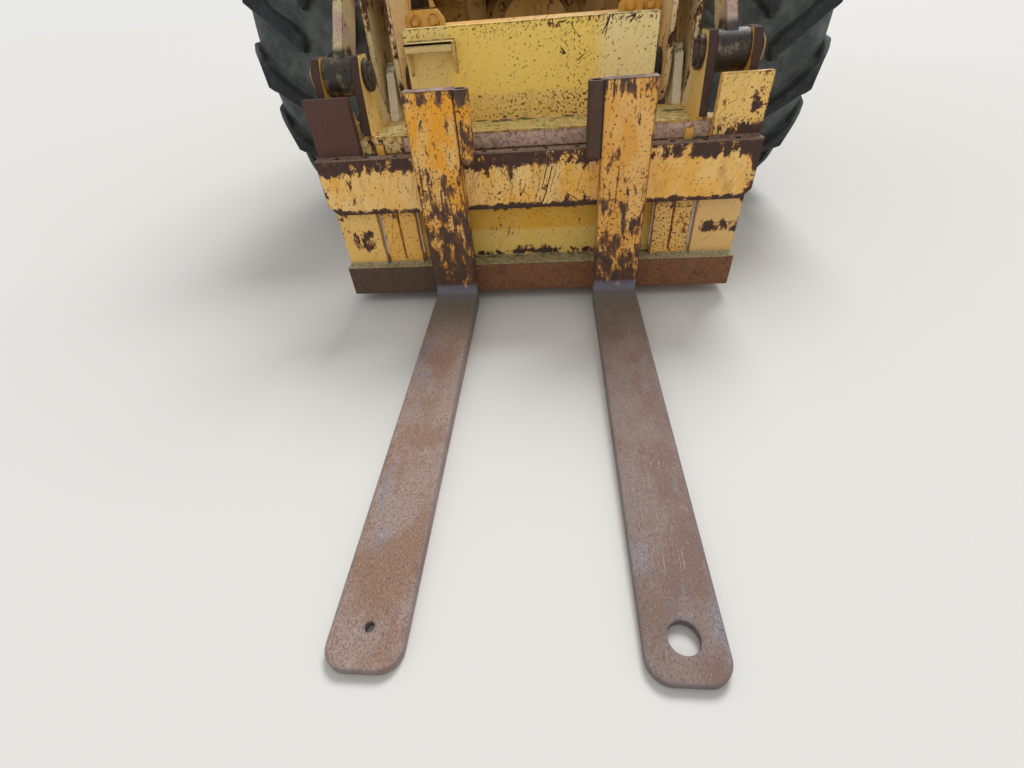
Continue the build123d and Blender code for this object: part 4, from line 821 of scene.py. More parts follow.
def addLug(bm, side):
    # a bar in its own lengths, then laid along the tread: x out, y across the lug, z up
    part = bmesh.new()
    bmesh.ops.create_cube(part, size=1)
    bmesh.ops.translate(part, vec=(0.5, 0, 0.5), verts=part.verts)
    lengthwise = [e for e in part.edges if abs(e.verts[0].co.x - e.verts[1].co.x) > 0.5]
    bmesh.ops.subdivide_edges(part, edges=lengthwise, cuts=19, use_grid_fill=True)
    rims = [e for e in part.edges if all(v.co.z > 0.9 for v in e.verts)
            and (all(abs(v.co.y) > 0.4 for v in e.verts) and e.verts[0].co.y * e.verts[1].co.y > 0
                 or all(v.co.x < 0.01 for v in e.verts) or all(v.co.x > 0.99 for v in e.verts))]
    corners = [e for e in part.edges if abs(e.verts[0].co.z - e.verts[1].co.z) > 0.5
               and (all(v.co.x < 0.01 for v in e.verts) or all(v.co.x > 0.99 for v in e.verts))]
    for vert in part.verts:
        out, across, up = vert.co
        nose = math.sqrt(max(0.0, 1 - max(0.0, 1 - out / tyre["nose"]) ** 2 * 0.86))
        x = tyre["middleGap"] + out * (tyre["half"] - tyre["middleGap"])
        waist = tyre["waist"] * math.exp(-((out - 0.42) / 0.18) ** 2)
        half = tyre["lugInner"] + (tyre["lugHalf"] - tyre["lugInner"]) * out ** 1.5 - waist
        half = half * nose + tyre["draft"] * (1 - up) + 9 * max(0.0, out - 0.75) * 4
        bend = tyre["lean"] * (x - tyre["middleGap"]) - tyre["bow"] * math.sin(math.pi * out)
        radius = crownRadius(x) if up > 0.5 else carcassRadius(x) - tyre["root"]
        if up <= 0.5:
            x -= 16 * max(0.0, out - 0.8) / 0.2
            x -= 10 * (1 - out) * (out < 0.08)
        angle = (bend + across * 2 * half) / tyre["radius"]
        vert.co = (x, radius * math.sin(angle), radius * math.cos(angle))
    ease(part, rims + corners, tyre["lugEdge"], 3)
    for vert in part.verts:
        over = max(1.0, math.hypot(vert.co.y, vert.co.z) / tyre["radius"])
        vert.co = (min(vert.co.x, tyre["half"]), vert.co.y / over, vert.co.z / over)
    if side < 0:
        bmesh.ops.scale(part, vec=(-1, 1, 1), verts=part.verts)
    pitch = 2 * math.pi / tyre["lugs"]
    start = tyre["firstLug"] * pitch + (pitch / 2 if side < 0 else 0)
    bmesh.ops.rotate(part, cent=(0, 0, 0), matrix=Matrix.Rotation(-start, 3, "X"), verts=part.verts)
    bmesh.ops.spin(part, geom=part.verts[:] + part.edges[:] + part.faces[:], cent=(0, 0, 0), axis=(1, 0, 0),
                   angle=pitch * (tyre["lugs"] - 1), steps=tyre["lugs"] - 1, use_duplicate=True)
    join(bm, part)


def makeTyreMesh():
    bm = bmesh.new()
    part = bmesh.new()
    outline = tyre["profile"] + [(-x, r) for x, r in reversed(tyre["profile"])]
    ring = [part.verts.new((x, 0, r)) for x, r in outline]
    edges = [part.edges.new((a, b)) for a, b in zip(ring, ring[1:] + ring[:1])]
    bmesh.ops.spin(part, geom=ring + edges, cent=(0, 0, 0), axis=(1, 0, 0), angle=2 * math.pi,
                   steps=tyre["spinSteps"], use_merge=True)
    bmesh.ops.remove_doubles(part, verts=part.verts, dist=0.01)
    join(bm, part)
    addLug(bm, 1)
    addLug(bm, -1)
    mesh = bpy.data.meshes.new("tyre")
    bm.to_mesh(mesh)
    bm.free()
    return mesh


def makeWheels():
    tyreMesh = makeTyreMesh()
    for end in ("front", "rear"):
        for side, hand in hands:
            body = "wheel_%s_%s" % (end, hand)
            low, high = spanOf("rim_%s_%s" % (end, hand))
            y = (low.y + high.y) / 2
            bm = bmesh.new()
            bm.from_mesh(tyreMesh)
            bmesh.ops.translate(bm, vec=(side * wheelX, y, axleHeight), verts=bm.verts)
            piece = makePiece("tyreTread_%s_%s" % (end, hand), bm, tyreFinish[end], body, 50)
            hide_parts("tyre_%s_%s" % (end, hand))
            makeWheelDetails(end, hand, side, y, body)
    bpy.data.meshes.remove(tyreMesh)


wheelDetails = {
    "discFace": 72,  # mm from the tyre's middle out to the disc's face
    "hubFace": 210,
    "nuts": (16, 228, 30),  # count, circle's radius, size across flats
    "stud": (34, 9),  # length and radius
    "cover": (14, 118),
    "cap": (24, 46),
    "cone": (40, 50, 214, 202),  # place out from the tyre's middle, length, radius inside and outside
    "coverBolts": (10, 92, 18),
    "lockRing": (214, 350, 7),  # place out, radius of the ring and of its bar
    "ringSteps": 64,
    "valve": (150, 296),  # place out, and up from the axle
}


def makeWheelDetails(end, hand, side, y, body):
    look = wheelDetails
    bm = bmesh.new()
    count, circle, across = look["nuts"]
    for out, up in around(count, circle, 0.5):
        at = (side * (wheelX + look["discFace"]), y + out, axleHeight + up)
        addBolt(bm, at, (side, 0, 0), across)
        addRound(bm, at, side * look["stud"][0], look["stud"][1], "x", 10, 1.5)
    makePiece("wheelNuts_%s_%s" % (end, hand), bm, zincPlated, body)
    bm = bmesh.new()
    face = side * (wheelX + look["hubFace"])
    thick, radius = look["cover"]
    addRound(bm, (face, y, axleHeight), side * thick, radius, "x", 40, 4)
    addRound(bm, (face, y, axleHeight), side * look["cap"][0], look["cap"][1], "x", 32, 5)
    out, length, inner, outer = look["cone"]
    addRound(bm, (side * (wheelX + out), y, axleHeight), side * length, inner, "x", 56, 10, outer)
    count, circle, across = look["coverBolts"]
    for out, up in around(count, circle):
        addBolt(bm, (face + side * thick, y + out, axleHeight + up), (side, 0, 0), across)
    makePiece("hubCover_%s_%s" % (end, hand), bm, rimEnamel, body)
    bm = bmesh.new()
    place, radius, bar = look["lockRing"]
    ring = [(side * (wheelX + place), y + out, axleHeight + up) for out,
            up in around(look["ringSteps"], radius)]
    addPipe(bm, ring, bar, 8, closed=True, smooth=False)
    place, up = look["valve"]
    valve = (side * (wheelX + place), y, axleHeight + up)
    addPipe(bm, [valve, (valve[0] + side * 30, y, valve[2] - 4), (valve[0] + side * 52, y, valve[2] - 26)], 5)
    makePiece("lockRing_%s_%s" % (end, hand), bm, rusted, body)


makeWheels()
print("wheels made")

# fork carriage: pin retainers, weld beads, index holes, the small bracket on the centre plate
carriage = {
    "tiltPin": (-1350, 742),
    "ears": (520, 545, 645, 670),  # faces of the inner and of the outer ear
    "retainer": 45,
    "innerRetainer": (17, 8, 25),  # washer's thickness, cap's length and radius
    "outerRetainer": (14, 12, 9),  # washer's thickness, length and radius of the bolt's head
    "keeper": (7, 34),  # half the width and half the height of the bar that holds the pin
    "holes": (14, 98, 9),  # count, pitch and radius
    "barTop": 533,
    "barMiddle": -1480,
    "hangers": (484, 514),
    "uprights": ((420, 545), (560, 705)),
    "uprightFace": -1465,
    "sheetFace": -1425,
    "bottomBarTop": 151,
    "shelfTop": 580,
    "shelfFront": -1434,
    "shelfBack": -1180,
    "plateFace": -1270,
    "plateHalf": 400,
    "sheetHalf": 420,
    "bracket": (-388, -236),
    "bracketTop": 812,
    "bracketReach": 62,
    "bracketDrop": (26, 92),  # height of its lip and of its end plates
    "moss": [((-690, 690), (-1438, -1400), 151, 46), ((-500, 500), (-1300, -1278), 580, 30),
             ((-120, 120), (-1424, -1398), 151, 14)],  # where in x, in y and in z, and how many lumps
}


def addRetainers(bm):
    look = carriage
    pinY, pinZ = look["tiltPin"]
    thick, cap, capRadius = look["innerRetainer"]
    outerThick, head, headRadius = look["outerRetainer"]
    wide, tall = look["keeper"]
    for side in bothSides:
        inner = side * look["ears"][0]
        addRound(bm, (inner, pinY, pinZ), -side * thick, look["retainer"], "x", 36, 4)
        addRound(bm, (inner - side * (thick - 2), pinY, pinZ), -side * cap, capRadius, "x", 28, 3)
        addBlock(bm, (inner - side * thick, pinY - wide, pinZ - tall),
                 (inner - side * (thick + 7), pinY + wide, pinZ + tall), 1.5)
        outer = side * look["ears"][3]
        addRound(bm, (outer, pinY, pinZ), side * outerThick, look["retainer"] - 3, "x", 36, 4)
        addRound(bm, (outer + side * (outerThick - 2), pinY, pinZ), side * head, headRadius, "x", 12, 2)


def addCarriageWelds(bm):
    look = carriage
    front, back, top = look["shelfFront"], look["shelfBack"], look["shelfTop"]
    for side in bothSides:
        for x in look["ears"]:
            addWeld(bm, (side * x, front + 6, top), (side * x, back - 4, top), 6)
        for x in look["hangers"]:
            addWeld(bm, (side * x, back - 22, top), (side * x, back - 2, top))
        welds = [(pair, look["bottomBarTop"])
                 for pair in look["uprights"]] + [(look["uprights"][1], look["barTop"])]
        for (low, high), z in welds:
            addWeld(bm, (side * low, look["uprightFace"], z), (side * high, look["uprightFace"], z))
    for half, y, z in ((look["plateHalf"], look["plateFace"], top),
                       (look["sheetHalf"], look["sheetFace"], look["bottomBarTop"])):
        addWeld(bm, (-half, y, z), (half, y, z))


def addBracket(bm):
    look = carriage
    low, high = look["bracket"]
    face, top, reach = look["plateFace"], look["bracketTop"], look["bracketReach"]
    lip, drop = look["bracketDrop"]
    addBlock(bm, (low, face - reach, top - 8), (high, face + 1, top), 1.5)
    addBlock(bm, (low, face - reach, top - lip), (high, face - reach + 8, top), 1.5)
    tip = face - reach + 6
    for x in (low, high - 7):
        addPlate(bm, [(face + 1, top - 4), (tip, top - 4), (tip, top - lip + 2), (face + 1, top - drop)], "x",
                 x, 7)
    addWeld(bm, (low, face, top), (high, face, top), 4)
    for x in (low, high):
        addWeld(bm, (x, face, top - drop + 2), (x, face, top - 8), 4)


def addMoss(bm):
    # lumps of moss and dirt that have settled behind the bars and on the shelf
    random.seed(5)
    for xs, ys, z, count in carriage["moss"]:
        for lump in range(count):
            part = bmesh.new()
            bmesh.ops.create_icosphere(part, subdivisions=2, radius=1)
            for vert in part.verts:
                vert.co *= random.uniform(0.8, 1.15)
            bmesh.ops.scale(part, vec=(random.uniform(8, 24), random.uniform(6, 13), random.uniform(2, 6)),
                            verts=part.verts)
            join(bm, part, Matrix.Translation((random.uniform(*xs), random.uniform(*ys), z)))


# moss and silt: soft, olive green with pale dry tips
def mossFelt(name):
    startMaterial(name)
    tufts = blotches(12, detail=6, roughness=0.75)
    colour = addNode("MixRGB", fade(tufts, 0.35, 0.6), "#3f4a1e", "#7d7c45")
    dust = fade(blotches(60, detail=4), 0.45, 0.65)
    colour = addNode("MixRGB", dust, colour, "#8c8165")
    return closeMaterial(colour, 0.95, tufts, 3)


def makeCarriageDetails():
    look = carriage
    bm = bmesh.new()
    addRetainers(bm)
    makePiece("pinRetainers", bm, greased, "fork_carriage")
    bm = bmesh.new()
    # the index holes are near-black discs a little proud of the bar's top: painted shade standing for the
    # dark inside each hole
    count, pitch, radius = look["holes"]
    for index in range(count):
        x = (index - (count - 1) / 2) * pitch
        addRound(bm, (x, look["barMiddle"], look["barTop"] - 2), 2.6, radius, "z", 20, 0.3)
    makePiece("indexHoleShadows", bm, holeShadowFinish, "fork_carriage")
    bm = bmesh.new()
    addCarriageWelds(bm)
    makePiece("carriageWelds", bm, carriageEnamel, "fork_carriage", 60)
    bm = bmesh.new()
    addBracket(bm)
    makePiece("plateBracket", bm, plateEnamel, "fork_carriage")
    bm = bmesh.new()
    addMoss(bm)
    makePiece("mossLumps", bm, mossFelt("mossFelt"), "fork_carriage", 80)


makeCarriageDetails()
print("carriage made")

# arms and cylinders
arms = {
    "pivot": (560, 1700),
    "towerOut": 600,
    "cap": (10, 78),
    "capBolts": (60, 19, (0.6, 2.2, 3.8, 5.4)),  # circle's radius, size across, angles
    "liftFoot": (640, 665),
    "liftEye": (-330, 1215),
    "barrelX": 498.75,
    "band": 78,
    "bandWidth": 34,
    "bandPlaces": (110, 742),  # from the foot
    "pipe": (130, 760),  # where it starts and ends, from the foot
    "pipeFoot": 66,  # from the cylinder's axis to the port
    "pipeLift": 86,  # from the cylinder's axis to the steel pipe on it
    "pads": (300, 440),  # bolted pads on the cross tube
    "padZ": (790, 858, 885),
    "padY": -1030,
    "padThick": 12,
}


def makeArmDetails():
    look = arms
    y, z = look["pivot"]
    thick, radius = look["cap"]
    circle, across, turns = look["capBolts"]
    bm = bmesh.new()
    for side in bothSides:
        out = side * look["towerOut"]
        addRound(bm, (out, y, z), side * thick, radius, "x", 40, 3)
        for turn in turns:
            at = (out + side * thick, y + circle * math.cos(turn), z + circle * math.sin(turn))
            addBolt(bm, at, (side, 0, 0), across)
    makePiece("pivotCaps", bm, machineEnamel, "front_frame")
    x0, x1 = look["pads"]
    foot, waist, top = look["padZ"]
    outline = ((x0, foot), (x1, foot), (x1, waist), (x1 - 22, top), (x0 + 22, top), (x0, waist))
    bm = bmesh.new()
    for side in bothSides:
        addPlate(bm, [(side * x, z) for x, z in outline], "y", look["padY"], -look["padThick"], 2)
        for x in (x0 + 38, x1 - 38):
            addBolt(bm, (side * x, look["padY"] - look["padThick"], waist - 6), (0, -1, 0))
    makePiece("tubePads", bm, machineEnamel, "lift_arms")
    # oil pipes clamped along the lift barrels
    foot, eye = Vector((0, *look["liftFoot"])), Vector((0, *look["liftEye"]))
    run = (eye - foot).normalized()
    up = Vector((0, run.z, -run.y))
    start, end = look["pipe"]
    low, high = up * look["pipeFoot"], up * look["pipeLift"]
    pipes = bmesh.new()
    bands = bmesh.new()
    for side in bothSides:
        base = Vector((side * look["barrelX"], 0, 0)) + foot
        ends = base + run * start, base + run * end
        addPipe(pipes, [ends[0] + low, ends[0] + high + run * 4, ends[0] + high + run * 40,
                        ends[1] + high - run * 40, ends[1] + high - run * 4, ends[1] + low], 8)
        for distance in look["bandPlaces"]:
            band = bmesh.new()
            bmesh.ops.create_cone(band, cap_ends=True, segments=36, radius1=look["band"],
                                  radius2=look["band"], depth=look["bandWidth"])
            ease(band, [e for e in band.edges if abs(e.verts[0].co.z - e.verts[1].co.z) < 0.01], 3)
            turn = run.to_track_quat("Z", "Y").to_matrix().to_4x4()
            at = base + run * distance + run * (look["bandWidth"] / 2)
            join(bands, band, Matrix.Translation(at) @ turn)
    makePiece("liftPipes", pipes, zincPlated, "lift_cylinder_barrels")
    makePiece("liftBands", bands, machineEnamel, "lift_cylinder_barrels")


makeArmDetails()

axles = {
    "front": ("front_frame", 0, -1),  # body, y of the axle, and the way its cover looks
    "rear": ("rear_frame", 3000, 1),
    "cover": (190, 16, 196, 22),  # mm from the axle line, bolts, circle's radius, size across
    "drain": (275, -90, 30),  # y and z from the axle line, size across
    "pad": ((270, 312), (-105, 105), 950),  # x, y and z of the bolts that hold the axle to the frame
    "padBolt": (30, 11),
    "tubeFlange": (186, 12, 170),
    "tubeBolt": (22, 10),
}


def makeAxleDetails():
    look = axles
    for end in ("front", "rear"):
        body, y, facingTo = look[end]
        bm = bmesh.new()
        cover, count, circle, across = look["cover"]
        for out, up in around(count, circle, 0.5):
            addBolt(bm, (out, y + facingTo * cover, axleHeight + up), (0, facingTo, 0), across)
        drainY, drainZ, across = look["drain"]
        addBolt(bm, (0, y + facingTo * drainY, axleHeight + drainZ), (0, facingTo, 0), across)
        xs, ys, z = look["pad"]
        length, radius = look["padBolt"]
        flange, count, circle = look["tubeFlange"]
        for side in bothSides:
            for padY in ys:
                for x in xs:
                    addBolt(bm, (side * x, y + padY, z), (0, 0, 1), 30)
                    addRound(bm, (side * x, y + padY, z), length, radius, "z", 12, 2)
            for out, up in around(count, circle, 0.5):
                addRound(bm, (side * flange, y + out, axleHeight + up), side * look["tubeBolt"][0],
                         look["tubeBolt"][1], "x", 8, 2)
        makePiece("axleBolts_" + end, bm, dirtyEnamel, body)


makeAxleDetails()
print("arms and axles made")

# cab: window rubbers, wiper, levers, door latches and seat
cab = {
    "half": 690,
    "front": (1440, 1900),
    "frontTop": (1500, 3120),
    "back": 2820,
    "backLean": (30, 1790, 3120),  # mm forwards over a height in mm, from its top
    "screen": (600, 1918, 3047),  # half its width, low and high
    "rearWindow": (560, 2303, 3037),
    "quarter": (2403, 2737, 2293, 3047),
    "doorWindow": [(1670, 1900), (1630, 2000), (1670, 2980), (2250, 2980), (2250, 1900)],
    "doorFace": 694,
    "latch": ((1690, 1790), (1800, 1850)),
    "floor": 1560,
    "sealRadius": 9,
    "wiperPivot": (-60, 1890),
    "wiperArm": [(-60, 1890, 1890, 28), (-20, 1960, 1962, 30), (190, 2080, 2080, 28), (330, 2150, 2150, 20)],
    "wiperBlade": (60, 600, 2150),
    "levers": (380, 62, 3, 2170),  # first x, pitch, count, y
    "pedals": (-210, 150),
    "dials": (-180, -90, 90, 180),
    "dialY": 1552,
    "dialHeight": 492,
}


def screenY(z):
    (y0, z0), (y1, z1) = cab["front"], cab["frontTop"]
    return y0 + (y1 - y0) * (z - z0) / (z1 - z0)


def addSeal(bm, corners, radius):
    # a rubber round a window, whose corners are each drawn as a short arc
    loop = []
    for index, corner in enumerate(corners):
        corner = Vector(corner)
        before, after = Vector(corners[index - 1]), Vector(corners[(index + 1) % len(corners)])
        start = corner + (before - corner).normalized() * radius
        end = corner + (after - corner).normalized() * radius
        loop += [start.lerp(corner, t).lerp(corner.lerp(end, t), t) for t in (0, 0.25, 0.5, 0.75, 1)]
    addPipe(bm, loop, cab["sealRadius"], 8, closed=True, smooth=False)


def makeWindowRubbers():
    look = cab
    bm = bmesh.new()
    half, low, high = look["screen"]
    square = ((-half, low), (half, low), (half, high), (-half, high))
    addSeal(bm, [(x, screenY(z), z) for x, z in square], 30)
    half, low, high = look["rearWindow"]
    lean, tall, top = look["backLean"]
    square = ((-half, low), (half, low), (half, high), (-half, high))
    addSeal(bm, [(x, look["back"] + (top - z) / tall * lean, z) for x, z in square], 30)
    y0, y1, z0, z1 = look["quarter"]
    for side in bothSides:
        addSeal(bm, [(side * look["half"], y, z) for y, z in ((y0, z0), (y1, z0), (y1, z1), (y0, z1))], 40)
    makePiece("windowRubbers", bm, rubberSeal, "rear_frame")


def makeDoorDetails():
    look = cab
    face = look["doorFace"]
    (y0, y1), (z0, z1) = look["latch"]
    for side, hand in hands:
        bm = bmesh.new()
        addSeal(bm, [(side * face, y, z) for y, z in look["doorWindow"]], 45)
        makePiece("doorRubber_" + hand, bm, rubberSeal, "door_" + hand)
        bm = bmesh.new()
        addBlock(bm, (side * face, y0, z0), (side * (face + 12), y1, z1), 5)
        addBlock(bm, (side * (face + 10), y0 + 10, z0 + 12), (side * (face + 28), y1 - 14, z1 - 12), 6)
        addRound(bm, (side * (face + 10), y1 - 14, (z0 + z1) / 2), side * 8, 9, "x", 16, 2)
        makePiece("doorLatch_" + hand, bm, blackPlastic, "door_" + hand)


def makeWiper():
    # parked along the foot of the windscreen
    look = cab
    x, z = look["wiperPivot"]
    bm = bmesh.new()
    addRound(bm, (x, screenY(z + 40) - 2, z), -34, 22, "y", 24, 4)
    addPipe(bm, [(x, screenY(at) - gap, z) for x, at, z, gap in look["wiperArm"]], 6)
    x0, x1, z = look["wiperBlade"]
    addBlock(bm, (x0, screenY(z) - 22, z - 8), (x1, screenY(z) - 10, z + 8), 3)
    makePiece("wiper", bm, blackPlastic, "rear_frame")


def makeControls():
    look = cab
    floorZ = look["floor"]
    first, pitch, count, y = look["levers"]
    bm = bmesh.new()
    for index in range(count):
        x = first + index * pitch
        addPipe(bm, [(x, y, floorZ + 610), (x, y - 10, floorZ + 690), (x, y - 28, floorZ + 760)], 6)
        addRound(bm, (x, y - 28, floorZ + 750), 46, 17, "z", 20, 8, 13)
    for x in look["pedals"]:
        addBlock(bm, (x, 1690, floorZ + 40), (x + 90, 1706, floorZ + 200), 5,
                 Matrix.Rotation(math.radians(-35), 4, "X"))
    makePiece("controlLevers", bm, blackPlastic, "rear_frame")
    bm = bmesh.new()
    for x in look["dials"]:
        addRound(bm, (x, look["dialY"], floorZ + look["dialHeight"]), 16, 34, "y", 28, 4)
    makePiece("dialRims", bm, zincPlated, "rear_frame")


def addCushion(bm, low, high, crown, axis, turn=None):
    # a crowned pad with pulled-in sides; axis is the way its face looks
    part = bmesh.new()
    bmesh.ops.create_cube(part, size=2)
    bmesh.ops.subdivide_edges(part, edges=part.edges[:], cuts=7, use_grid_fill=True)
    half = [abs(b - a) / 2 for a, b in zip(low, high)]
    flat = [i for i in range(3) if i != axis]
    for vert in part.verts:
        shape = [c for c in vert.co]
        across, along = shape[flat[0]], shape[flat[1]]
        swell = (1 - across ** 2) * (1 - along ** 2)
        pinch = 1 - 0.06 * (across ** 4 + along ** 4) * (1 - abs(shape[axis]) * 0.5)
        channel = 0.05 * math.exp(-((abs(across) - 0.55) / 0.06) ** 2)
        size = [shape[i] * half[i] * (pinch if i in flat else 1) for i in range(3)]
        size[axis] += crown * (swell - channel * 6) * (1 if shape[axis] > 0.9 else 0)
        vert.co = size
    for step in range(2):
        bmesh.ops.smooth_vert(part, verts=part.verts, factor=0.5, use_axis_x=True, use_axis_y=True,
                              use_axis_z=True)
    middle = Matrix.Translation([(a + b) / 2 for a, b in zip(low, high)])
    join(bm, part, middle @ (turn or Matrix.Identity(4)))


seat = {
    "pan": (250, -670, -200, 425, 520),  # half its width, y from the cab's back, z from the floor
    "backrest": (235, -225, -125, 520, 1160),
    "lean": -8,  # degrees
    "crown": (12, 10),  # mm, pan and backrest
    "bellows": (6, 60, 55, 50),  # folds, height of the first, pitch, depth of a fold
    "armrest": (265, 315, -520, -240, 640, 680),
}


def makeSeat():
    look = seat
    back, floorZ = cab["back"], cab["floor"]
    bm = bmesh.new()
    half, y0, y1, z0, z1 = look["pan"]
    addCushion(bm, (-half, back + y0, floorZ + z0), (half, back + y1, floorZ + z1), look["crown"][0], 2)
    lean = Matrix.Rotation(math.radians(look["lean"]), 4, "X")
    half, y0, y1, z0, z1 = look["backrest"]
    addCushion(bm, (-half, back + y0, floorZ + z0), (half, back + y1, floorZ + z1), look["crown"][1], 1, lean)
    piece = makePiece("seatCushions", bm, seatCloth, "rear_frame", 60)
    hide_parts("seat")
    bm = bmesh.new()
    folds, first, pitch, deep = look["bellows"]
    for index in range(folds):
        low = floorZ + first + index * pitch
        addBlock(bm, (-150, back - 580, low), (150, back - 280, low + deep), 14)
    addBlock(bm, (-200, back - 620, floorZ), (200, back - 240, floorZ + 60), 8)
    addBlock(bm, (-215, back - 650, floorZ + 392), (215, back - 220, floorZ + 424), 8)
    x0, x1, y0, y1, z0, z1 = look["armrest"]
    post = (x0 + x1) / 2
    for side in bothSides:
        addBlock(bm, (side * x0, back + y0, floorZ + z0), (side * x1, back + y1, floorZ + z1), 14)
        addPipe(bm, [(side * post, back - 250, floorZ + 440), (side * post, back - 250, floorZ + 560),
                     (side * post, back - 260, floorZ + 650)], 11)
    makePiece("seatBase", bm, blackPlastic, "rear_frame")


makeWindowRubbers()
makeDoorDetails()
makeWiper()
makeControls()
makeSeat()
print("cab made")

# lamps and mirrors
lamps = {
    "head": (840, -70, 1690),
    "headRadius": 85,
    "rimWidth": 7,
    "bulge": 0.18,  # depth of the headlamp's glass, as a share of a half ball
    "roof": (500, 640, 1340, 3128, 3228),
    "rear": (700, 880, 1090, 1190),
    "rearFace": 4850,
    "mirror": (820, 980, 2480, 2800),
    "mirrorFace": 1562.5,
    "shell": (1535, 26),  # y of the shell's middle, and its depth
}


def makeHeadlamps():
    look = lamps
    x, y, z = look["head"]
    radius, rim = look["headRadius"], look["rimWidth"]
    rims = bmesh.new()
    lenses = bmesh.new()
    for side in bothSides:
        addRound(rims, (side * x, y - 1, z), -rim, radius, "y", 40, 2, radius - rim)
        part = bmesh.new()
        bmesh.ops.create_uvsphere(part, u_segments=32, v_segments=16, radius=radius - 10)
        bmesh.ops.bisect_plane(part, geom=part.verts[:] + part.edges[:] + part.faces[:], plane_co=(0, 0, 0),
                               plane_no=(0, 1, 0), clear_outer=True)
        bmesh.ops.scale(part, vec=(1, look["bulge"], 1), verts=part.verts)
        bmesh.ops.holes_fill(part, edges=part.edges[:], sides=0)
        join(lenses, part, Matrix.Translation((side * x, y - 7.5, z)))
    makePiece("headlampRims", rims, zincPlated, "front_frame")
    makePiece("headlampGlass", lenses, clearLens, "front_frame")


def makeOtherLamps():
    look = lamps
    x0, x1, y, z0, z1 = look["roof"]
    bm = bmesh.new()
    for side in bothSides:
        addBlock(bm, (side * (x0 + 10), y - 5, z0 + 10), (side * (x1 - 10), y + 1, z1 - 10))
    makePiece("workLampGlass", bm, clearLens, "rear_frame")
    x0, x1, z0, z1 = look["rear"]
    third = (x1 - x0) / 3
    for index, (name, material) in enumerate((("reversingLens", clearLens), ("indicatorLens", amberLens))):
        bm = bmesh.new()
        for side in bothSides:
            start = x0 + 5 + index * (2 * third - 4)
            addBlock(bm, (side * start, look["rearFace"] - 12, z0 + 6),
                     (side * (start + third - 6), look["rearFace"] + 4, z1 - 6), 3)
        makePiece(name, bm, material, "rear_frame")


def makeMirrors():
    look = lamps
    x0, x1, z0, z1 = look["mirror"]
    face = look["mirrorFace"]
    bm = bmesh.new()
    for side in bothSides:
        addBlock(bm, (side * (x0 + 8), face - 3.5, z0 + 8), (side * (x1 - 8), face, z1 - 8), 1)
    makePiece("mirrorGlass", bm, mirrorGlass, "rear_frame")
    y, deep = look["shell"]
    bm = bmesh.new()
    for side in bothSides:
        part = bmesh.new()
        bmesh.ops.create_cube(part, size=1)
        bmesh.ops.scale(part, vec=(x1 - x0 + 8, deep, z1 - z0 + 8), verts=part.verts)
        ease(part, [e for e in part.edges if abs(e.verts[0].co.y - e.verts[1].co.y) > 1], 28, 4)
        ease(part, [e for e in part.edges if all(v.co.y < 1 - deep / 2 for v in e.verts)], 8, 2)
        join(bm, part, Matrix.Translation((side * (x0 + x1) / 2, y, (z0 + z1) / 2)))
    makePiece("mirrorShells", bm, blackPlastic, "rear_frame")


# hood: latches, louvres, clamps on the exhaust, ribs on the air intake's bowl, lifting handles
hood = {
    "half": 640,
    "doors": (3020, 4120, 1580, 1930),
    "latchInset": 160,
    "louvres": (7, 54, -24),  # count, pitch, and turn in degrees
    "exhaust": (330, 3300),
    "clamps": (2300, 2640),
    "intake": (-330, 3250),
    "bowl": (2492, 2616),  # z of its two rings
    "ribs": (20, 119),
    "collar": 2218,
    "top": (2880, 2240, 4600, 2060),
    "handleX": 300,
    "handleShares": (0.5, 0.9),  # how far along the slope
    "handle": (60, 34, 40),  # half its length, height at the ends and in the middle
    "grille": (4720, 540, 1400, 1900),
}


def makeHoodSides():
    look = hood
    y0, y1, z0, z1 = look["doors"]
    half, inset = look["half"], look["latchInset"]
    count, pitch, turn = look["louvres"]
    for side, hand in hands:
        bm = bmesh.new()
        for y in (y0 + inset, y1 - inset):
            addBlock(bm, (side * half, y - 34, z0 + 26), (side * (half + 7), y + 34, z0 + 62), 3)
            addRound(bm, (side * (half + 6), y, z0 + 44), side * 6, 11, "x", 20, 2)
        makePiece("hoodLatches_" + hand, bm, blackPlastic, "hood_door_" + hand)
        bm = bmesh.new()
        for index in range(count):
            y = y1 - 120 - index * pitch
            addBlock(bm, (side * (half - 6), y - 3, z0 + 66), (side * (half + 7), y + 7, z1 - 86), 2,
                     Matrix.Rotation(math.radians(side * turn), 4, "Z"))
        makePiece("ventLouvres_" + hand, bm, cabEnamel, "hood_door_" + hand)


